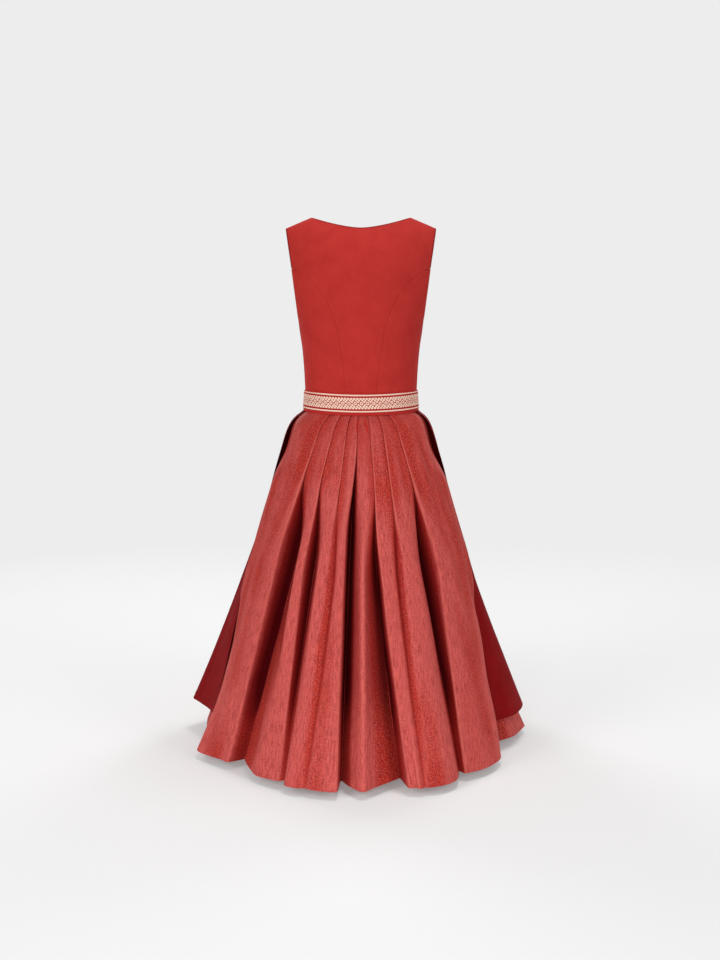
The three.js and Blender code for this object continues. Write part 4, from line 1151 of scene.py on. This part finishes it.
# The turned-in cloth lies under the hems as a low ledge, and the stitching draws a groove along it.
ledge = 0.3 * (1 - smoothstep(past_hem, 0, 2)) + 0.3 * (1 - smoothstep(past_side, 0, 1.5))
groove = 0.35 * np.exp(-((past_hem / 1.2) ** 2)) + 0.3 * np.exp(-(past_side**2))
raised = (ledge - groove) * smoothstep(FLARE_TOP - middle[..., 2], 0, 40)
middle = middle + outward(middle)[0] * raised[..., None]
apron = shell("apron_sateen", middle, APRON_CLOTH, with_the_folds(middle))
apron.data.materials.append(APRON)
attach(apron, "root")
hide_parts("apron")

# ---------------------------------------------------------------- the apron's stitches
# Rows of small stitches in the cloth's own red hold the turned-up hem and both side hems. Each is a
# bead of thread on the cloth's face.


def stitches(name, centre, way, out, long, radius):
    """Rows of short stitches, each a six-sided bead: its radius swells from a fifth at its ends to
    the whole in the middle. centre, way and out are arrays of points and unit directions."""
    side = np.cross(way, out)
    down_it = np.array([-0.5, -0.36, 0.0, 0.36, 0.5])[:, None, None] * long
    swell = np.array([0.2, 0.85, 1.0, 0.85, 0.2])[:, None, None] * radius
    turn = (np.arange(6) * np.pi / 3)[:, None]
    centre, way, out, side = (each[:, None, None] for each in (centre, way, out, side))
    points = centre + down_it * way + swell * (np.cos(turn) * out + np.sin(turn) * side)
    index = np.arange(points[0, ..., 0].size).reshape(points.shape[1:3])
    after = np.roll(index, -1, axis=1)
    walls = np.stack([index[:-1], after[:-1], after[1:], index[1:]], -1).reshape(-1, 4)
    start = index.size * np.arange(len(points))[:, None, None]
    caps = np.concatenate([index[0, ::-1] + start[:, 0], index[-1] + start[:, 0]])
    faces = (walls + start).reshape(-1, 4).tolist() + caps.tolist()
    mesh = bpy.data.meshes.new(name)
    mesh.from_pydata((points.reshape(-1, 3) / 1000).tolist(), [], faces)
    sewn_up(mesh)
    made = bpy.data.objects.new(name, mesh)
    bpy.context.scene.collection.objects.link(made)
    return made


def row_of(line, out, pitch):
    """Places every pitch along a line of points, with the line's direction and the cloth's there."""
    step = np.linalg.norm(np.diff(line, axis=0), axis=-1)
    run = np.concatenate([[0], np.cumsum(step)])
    at = np.arange(pitch, run[-1] - pitch / 2, pitch)
    here = np.stack([np.interp(at, run, line[:, k]) for k in range(3)], -1)
    ahead = np.stack([np.interp(at + 0.5, run, line[:, k]) for k in range(3)], -1)
    facing = np.stack([np.interp(at, run, out[:, k]) for k in range(3)], -1)
    way = ahead - here
    way /= np.linalg.norm(way, axis=-1, keepdims=True)
    facing -= (facing * way).sum(-1, keepdims=True) * way
    return here, way, facing / np.linalg.norm(facing, axis=-1, keepdims=True)


def thread_finish(name, tint):
    """Twisted sewing thread: one dyed colour with a faint twist."""
    f = Finish(name)
    place = f.node("ShaderNodeTexCoord", (), (), "Object")
    twist = f.noise(place, 2400.0, 1.0, 0.5)
    base = f.mix(twist, colour(*tint), colour(*(int(0.75 * c) for c in tint)))
    return f.finish(Base_Color=base, Roughness=0.55, Specular_IOR_Level=0.4)


def line_in(grid, off, distance):
    """The line across a grid's columns at a distance from the foot of each, between the two rows that
    it falls between."""
    row, column = (off > distance).sum(0) - 1, np.arange(grid.shape[1])
    above, below = off[row, column], off[row + 1, column]
    return lerp(grid[row, column], grid[row + 1, column], ((above - distance) / (above - below))[:, None])


normal, _ = outward(middle)
from_hem = lengths(middle, 0)[-1] - lengths(middle, 0)
surface = middle + normal * (APRON_CLOTH / 2)
hem_row = row_of(*(line_in(grid, from_hem, HEM_STITCHED) for grid in (surface, normal)), 3.6)
side_rows = [row_of(surface[6:, k], normal[6:, k], 3.4) for k in (2, -3)]
centre, way, out = (np.concatenate(parts) for parts in zip(hem_row, *side_rows))
apron_stitches = stitches("apron_hem_stitches", centre, way, out, 2.6, 0.26)
apron_stitches.data.materials.append(thread_finish("apron_thread", (112, 20, 26)))
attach(apron_stitches, "root")

# ---------------------------------------------------------------- the waistband
# A firm strip of ribbed red cloth round the waist. Its end laps over its start at the wearer's left
# front, where hooks under it hold it.
BAND_TOP, BAND_BOTTOM, BAND_CLOTH = -394, -446, 1.5
LAP_START, LAP_LENGTH = 140, 18  # in degrees from the centre back, to the wearer's left
LAP_LIFT = 1.9  # the band's thickness and a gap


def round_waist(z, clear, start, end, count):
    """The band's middle at each height: an ellipse moved out by a distance, from one angle to
    another, set a few millimetres higher at the hips. Its outer end lifts smoothly by a thickness
    and a gap where it laps over the start."""
    angle = lerp(start, end, np.linspace(0, 1, count + 1))[None, :]
    turned, f = np.radians(angle), ((z - BAND_TOP) / (BAND_BOTTOM - BAND_TOP))[:, None]
    over = clear + LAP_LIFT * smoothstep(angle, LAP_START + 360 - 26, LAP_START + 360 - 9)
    side = lerp(132.7, 135.7, f) + over
    deep = np.where(np.cos(turned) > 0, lerp(88.2, 92.2, f), lerp(97.2, 99.6, f)) + over
    height = z[:, None] + lerp(1.2, 5, f) * np.sin(turned) ** 2
    return np.stack([side * np.sin(turned), deep * np.cos(turned), height], -1)


def band_finish():
    """Red grosgrain: upright ribs, 1.1 mm apart, in a matte yarn."""
    f = Finish("red_grosgrain")
    cloth = f.node("ShaderNodeUVMap", {"uv_map": "cloth"})
    x, _, _ = f.split(cloth)
    rib = (x * (6.2832 / 0.0011)).maths("SINE")
    grain = f.noise(f.stretched(cloth, (900.0, 1300.0, 1.0)), 1.0, 2.0, 0.6)
    base = f.mix(grain, colour(168, 22, 22), colour(192, 38, 32))
    normal = f.bump(rib, 0.00014, 0.6)
    return f.finish(
        Base_Color=base, Roughness=0.74 + 0.1 * grain, Normal=normal, Specular_IOR_Level=0.3
    )


band_heights = BAND_TOP + (BAND_BOTTOM - BAND_TOP) * spaced(12, 0.008)
middle = round_waist(band_heights, 0, LAP_START, LAP_START + 360 + LAP_LENGTH, 300)
band = shell("waistband_grosgrain", middle, BAND_CLOTH)
band.data.materials.append(band_finish())
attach(band, "root")
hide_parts("waistband")

# ---------------------------------------------------------------- the woven ribbon
# A jacquard ribbon of cream on red: a net of small diamonds with a row of rings down the middle,
# between two plain cream lines. It is sewn along both edges of the waistband's face.
RIBBON_TOP, RIBBON_BOTTOM, RIBBON_START = -396.5, -439.5, 2.5
RIBBON_CLOTH = 0.9
NET = 7.2  # the pitch of the diamonds; the rings stand at twice that


def ribbon_finish():
    """The ribbon's weave, reckoned in millimetres from its middle. A cream band 25 mm wide has
    scalloped edges. In it, red points stand in a diamond net, left out inside a ring at every
    second one, which has a red point at its centre. A cream line lies 18.6 mm above and below."""
    f = Finish("jacquard_ribbon")
    cloth = f.node("ShaderNodeUVMap", {"uv_map": "cloth"})
    x, y, _ = f.split(cloth)
    x, y = x * 1000.0, (y * 1000.0) - (RIBBON_TOP - RIBBON_BOTTOM) / 2
    high = y.maths("ABSOLUTE")
    wave_across, wave_up = ((way * (6.2832 / NET)).maths("COSINE") for way in (x, y))
    ground = f.ramp(high - wave_across * 0.6, 12.9, 12.3)
    lines = f.ramp((high - 18.6).maths("ABSOLUTE"), 1.75, 1.35)
    red = f.ramp(wave_across * wave_up, 0.2, 0.36)
    along_ring = (x / (2 * NET)).maths("FRACT") * (2 * NET) - NET
    off = (along_ring * along_ring + y * y).maths("SQRT")
    in_ring = f.ramp(off, 6.0, 5.5)
    edge_ring = f.ramp((off - 4.8).maths("ABSOLUTE"), 1.0, 0.6)
    heart = f.ramp(off, 1.8, 1.3)
    marks = (red * (1 - in_ring)).maths("MAXIMUM", edge_ring).maths("MAXIMUM", heart)
    inner = f.ramp(high, 11.6, 11.0)
    cream = (ground * (1 - marks * inner)).maths("MAXIMUM", lines)
    yarn = f.noise(f.stretched(cloth, (1500.0, 900.0, 1.0)), 1.0, 2.0, 0.6)
    pale = f.mix(yarn, colour(232, 194, 172), colour(244, 216, 196))
    dark = f.mix(yarn, colour(150, 20, 20), colour(178, 34, 30))
    weave = threads(f, cloth, 0.0005, 0.00045)
    normal = f.bump(cream, 0.00025, 0.6)
    normal = f.bump(weave, 0.0001, 0.5, normal)
    return f.finish(
        Base_Color=f.mix(cream, dark, pale),
        Roughness=0.62 - 0.12 * cream,
        Normal=normal,
        Specular_IOR_Level=0.2,
    )


ribbon_heights = RIBBON_TOP + (RIBBON_BOTTOM - RIBBON_TOP) * spaced(10, 0.008)
clear = (BAND_CLOTH + RIBBON_CLOTH) / 2 + 0.2
start = LAP_START + LAP_LENGTH + RIBBON_START
middle = round_waist(ribbon_heights, clear, start, LAP_START + 360 + LAP_LENGTH, 300)
across, up = lengths(middle, 1), lengths(middle, 0)
grain = np.stack([across, up[-1][None, :] - up], -1)
ribbon = shell("jacquard_ribbon", middle, RIBBON_CLOTH, grain)
ribbon.data.materials.append(ribbon_finish())
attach(ribbon, "root")
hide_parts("ribbon")

# ---------------------------------------------------------------- the floor, the light and the camera
# A pale floor that fades into the background, soft lights on all sides, and the camera behind the
# dress. Lengths are in metres here.
FLOOR, FLOOR_REACH = -1.222, 3.0


def floor_finish():
    """Matte off-white, fading to nothing 2.6 m out, so that no edge shows."""
    f = Finish("pale_floor")
    x, y, _ = f.split(f.node("ShaderNodeTexCoord", (), (), "Object"))
    off = (x * x + y * y).maths("SQRT")
    clear = f.node("ShaderNodeBsdfTransparent")
    matte = f.node("ShaderNodeBsdfDiffuse", (), {"Color": (0.64, 0.64, 0.64, 1.0)})
    glow = f.node("ShaderNodeEmission", (), {"Color": (1.0, 1.0, 1.0, 1.0), "Strength": 0.19})
    pale = f.node("ShaderNodeAddShader", (), [matte, glow])
    mixed = f.node("ShaderNodeMixShader", (), [f.ramp(off, 0.9, 2.6), pale, clear])
    f.put(f.tree.nodes["Material Output"].inputs["Surface"], mixed)
    return f.material


corners = [(x * FLOOR_REACH, y * FLOOR_REACH, FLOOR) for x, y in ((-1, -1), (1, -1), (1, 1), (-1, 1))]
mesh = bpy.data.meshes.new("floor")
mesh.from_pydata(corners, [], [(0, 1, 2, 3)])
mesh.materials.append(floor_finish())
floor = bpy.data.objects.new("floor", mesh)
bpy.context.scene.collection.objects.link(floor)

# The background is one pale grey, and the light that it gives is weaker.
world = bpy.data.worlds.new("studio")
world.use_nodes = True
bpy.context.scene.world = world
tree = world.node_tree
ambient = tree.nodes["Background"]
ambient.inputs["Color"].default_value = (1.0, 1.0, 1.0, 1.0)
ambient.inputs["Strength"].default_value = 0.2
seen = tree.nodes.new("ShaderNodeBackground")
seen.inputs["Color"].default_value = colour(237, 237, 237)
seen.inputs["Strength"].default_value = 1.0
ray, both = tree.nodes.new("ShaderNodeLightPath"), tree.nodes.new("ShaderNodeMixShader")
tree.links.new(ray.outputs["Is Camera Ray"], both.inputs[0])
tree.links.new(ambient.outputs[0], both.inputs[1])
tree.links.new(seen.outputs[0], both.inputs[2])
tree.links.new(both.outputs[0], tree.nodes["World Output"].inputs["Surface"])


def soft_light(name, place, size, power):
    """A square area light at a place, turned towards the middle of the dress."""
    data = bpy.data.lights.new(name, "AREA")
    data.shape, data.size, data.energy = "SQUARE", size, power
    made = bpy.data.objects.new(name, data)
    made.location = place
    made.rotation_euler = (Vector((0, 0, -0.6)) - Vector(place)).to_track_quat("-Z", "Y").to_euler()
    bpy.context.scene.collection.objects.link(made)


soft_light("left_light", (2.7, 2.6, 0.9), 1.8, 62)
soft_light("right_light", (-2.7, 2.6, 0.7), 1.8, 44)
soft_light("camera_light", (0.4, 4.0, 0.1), 1.4, 50)
soft_light("top_light", (-0.5, -0.3, 2.6), 1.0, 44)
soft_light("front_left_light", (2.0, -2.8, 0.9), 1.6, 60)
soft_light("front_right_light", (-2.0, -2.8, 0.9), 1.6, 46)

# The camera stands behind the dress at the height of the chest, tilted down a little. A picture is 960
# pixels high, and its middle lies 170 of them below the lens's axis.
EYE, TILT = (0.0023, 3.42974, -0.1245), 0.0233
PICTURE_HIGH, MIDDLE_BELOW = 960, 170
lens = bpy.data.cameras.new("camera")
lens.sensor_width, lens.lens, lens.shift_y = 36, 54.453, -MIDDLE_BELOW / PICTURE_HIGH
camera = bpy.data.objects.new("camera", lens)
camera.location = EYE
camera.rotation_euler = (np.pi / 2 - TILT, 0, np.pi)
bpy.context.scene.collection.objects.link(camera)
bpy.context.scene.camera = camera
bpy.context.scene.view_settings.view_transform = "Standard"

bpy.context.view_layer.update()
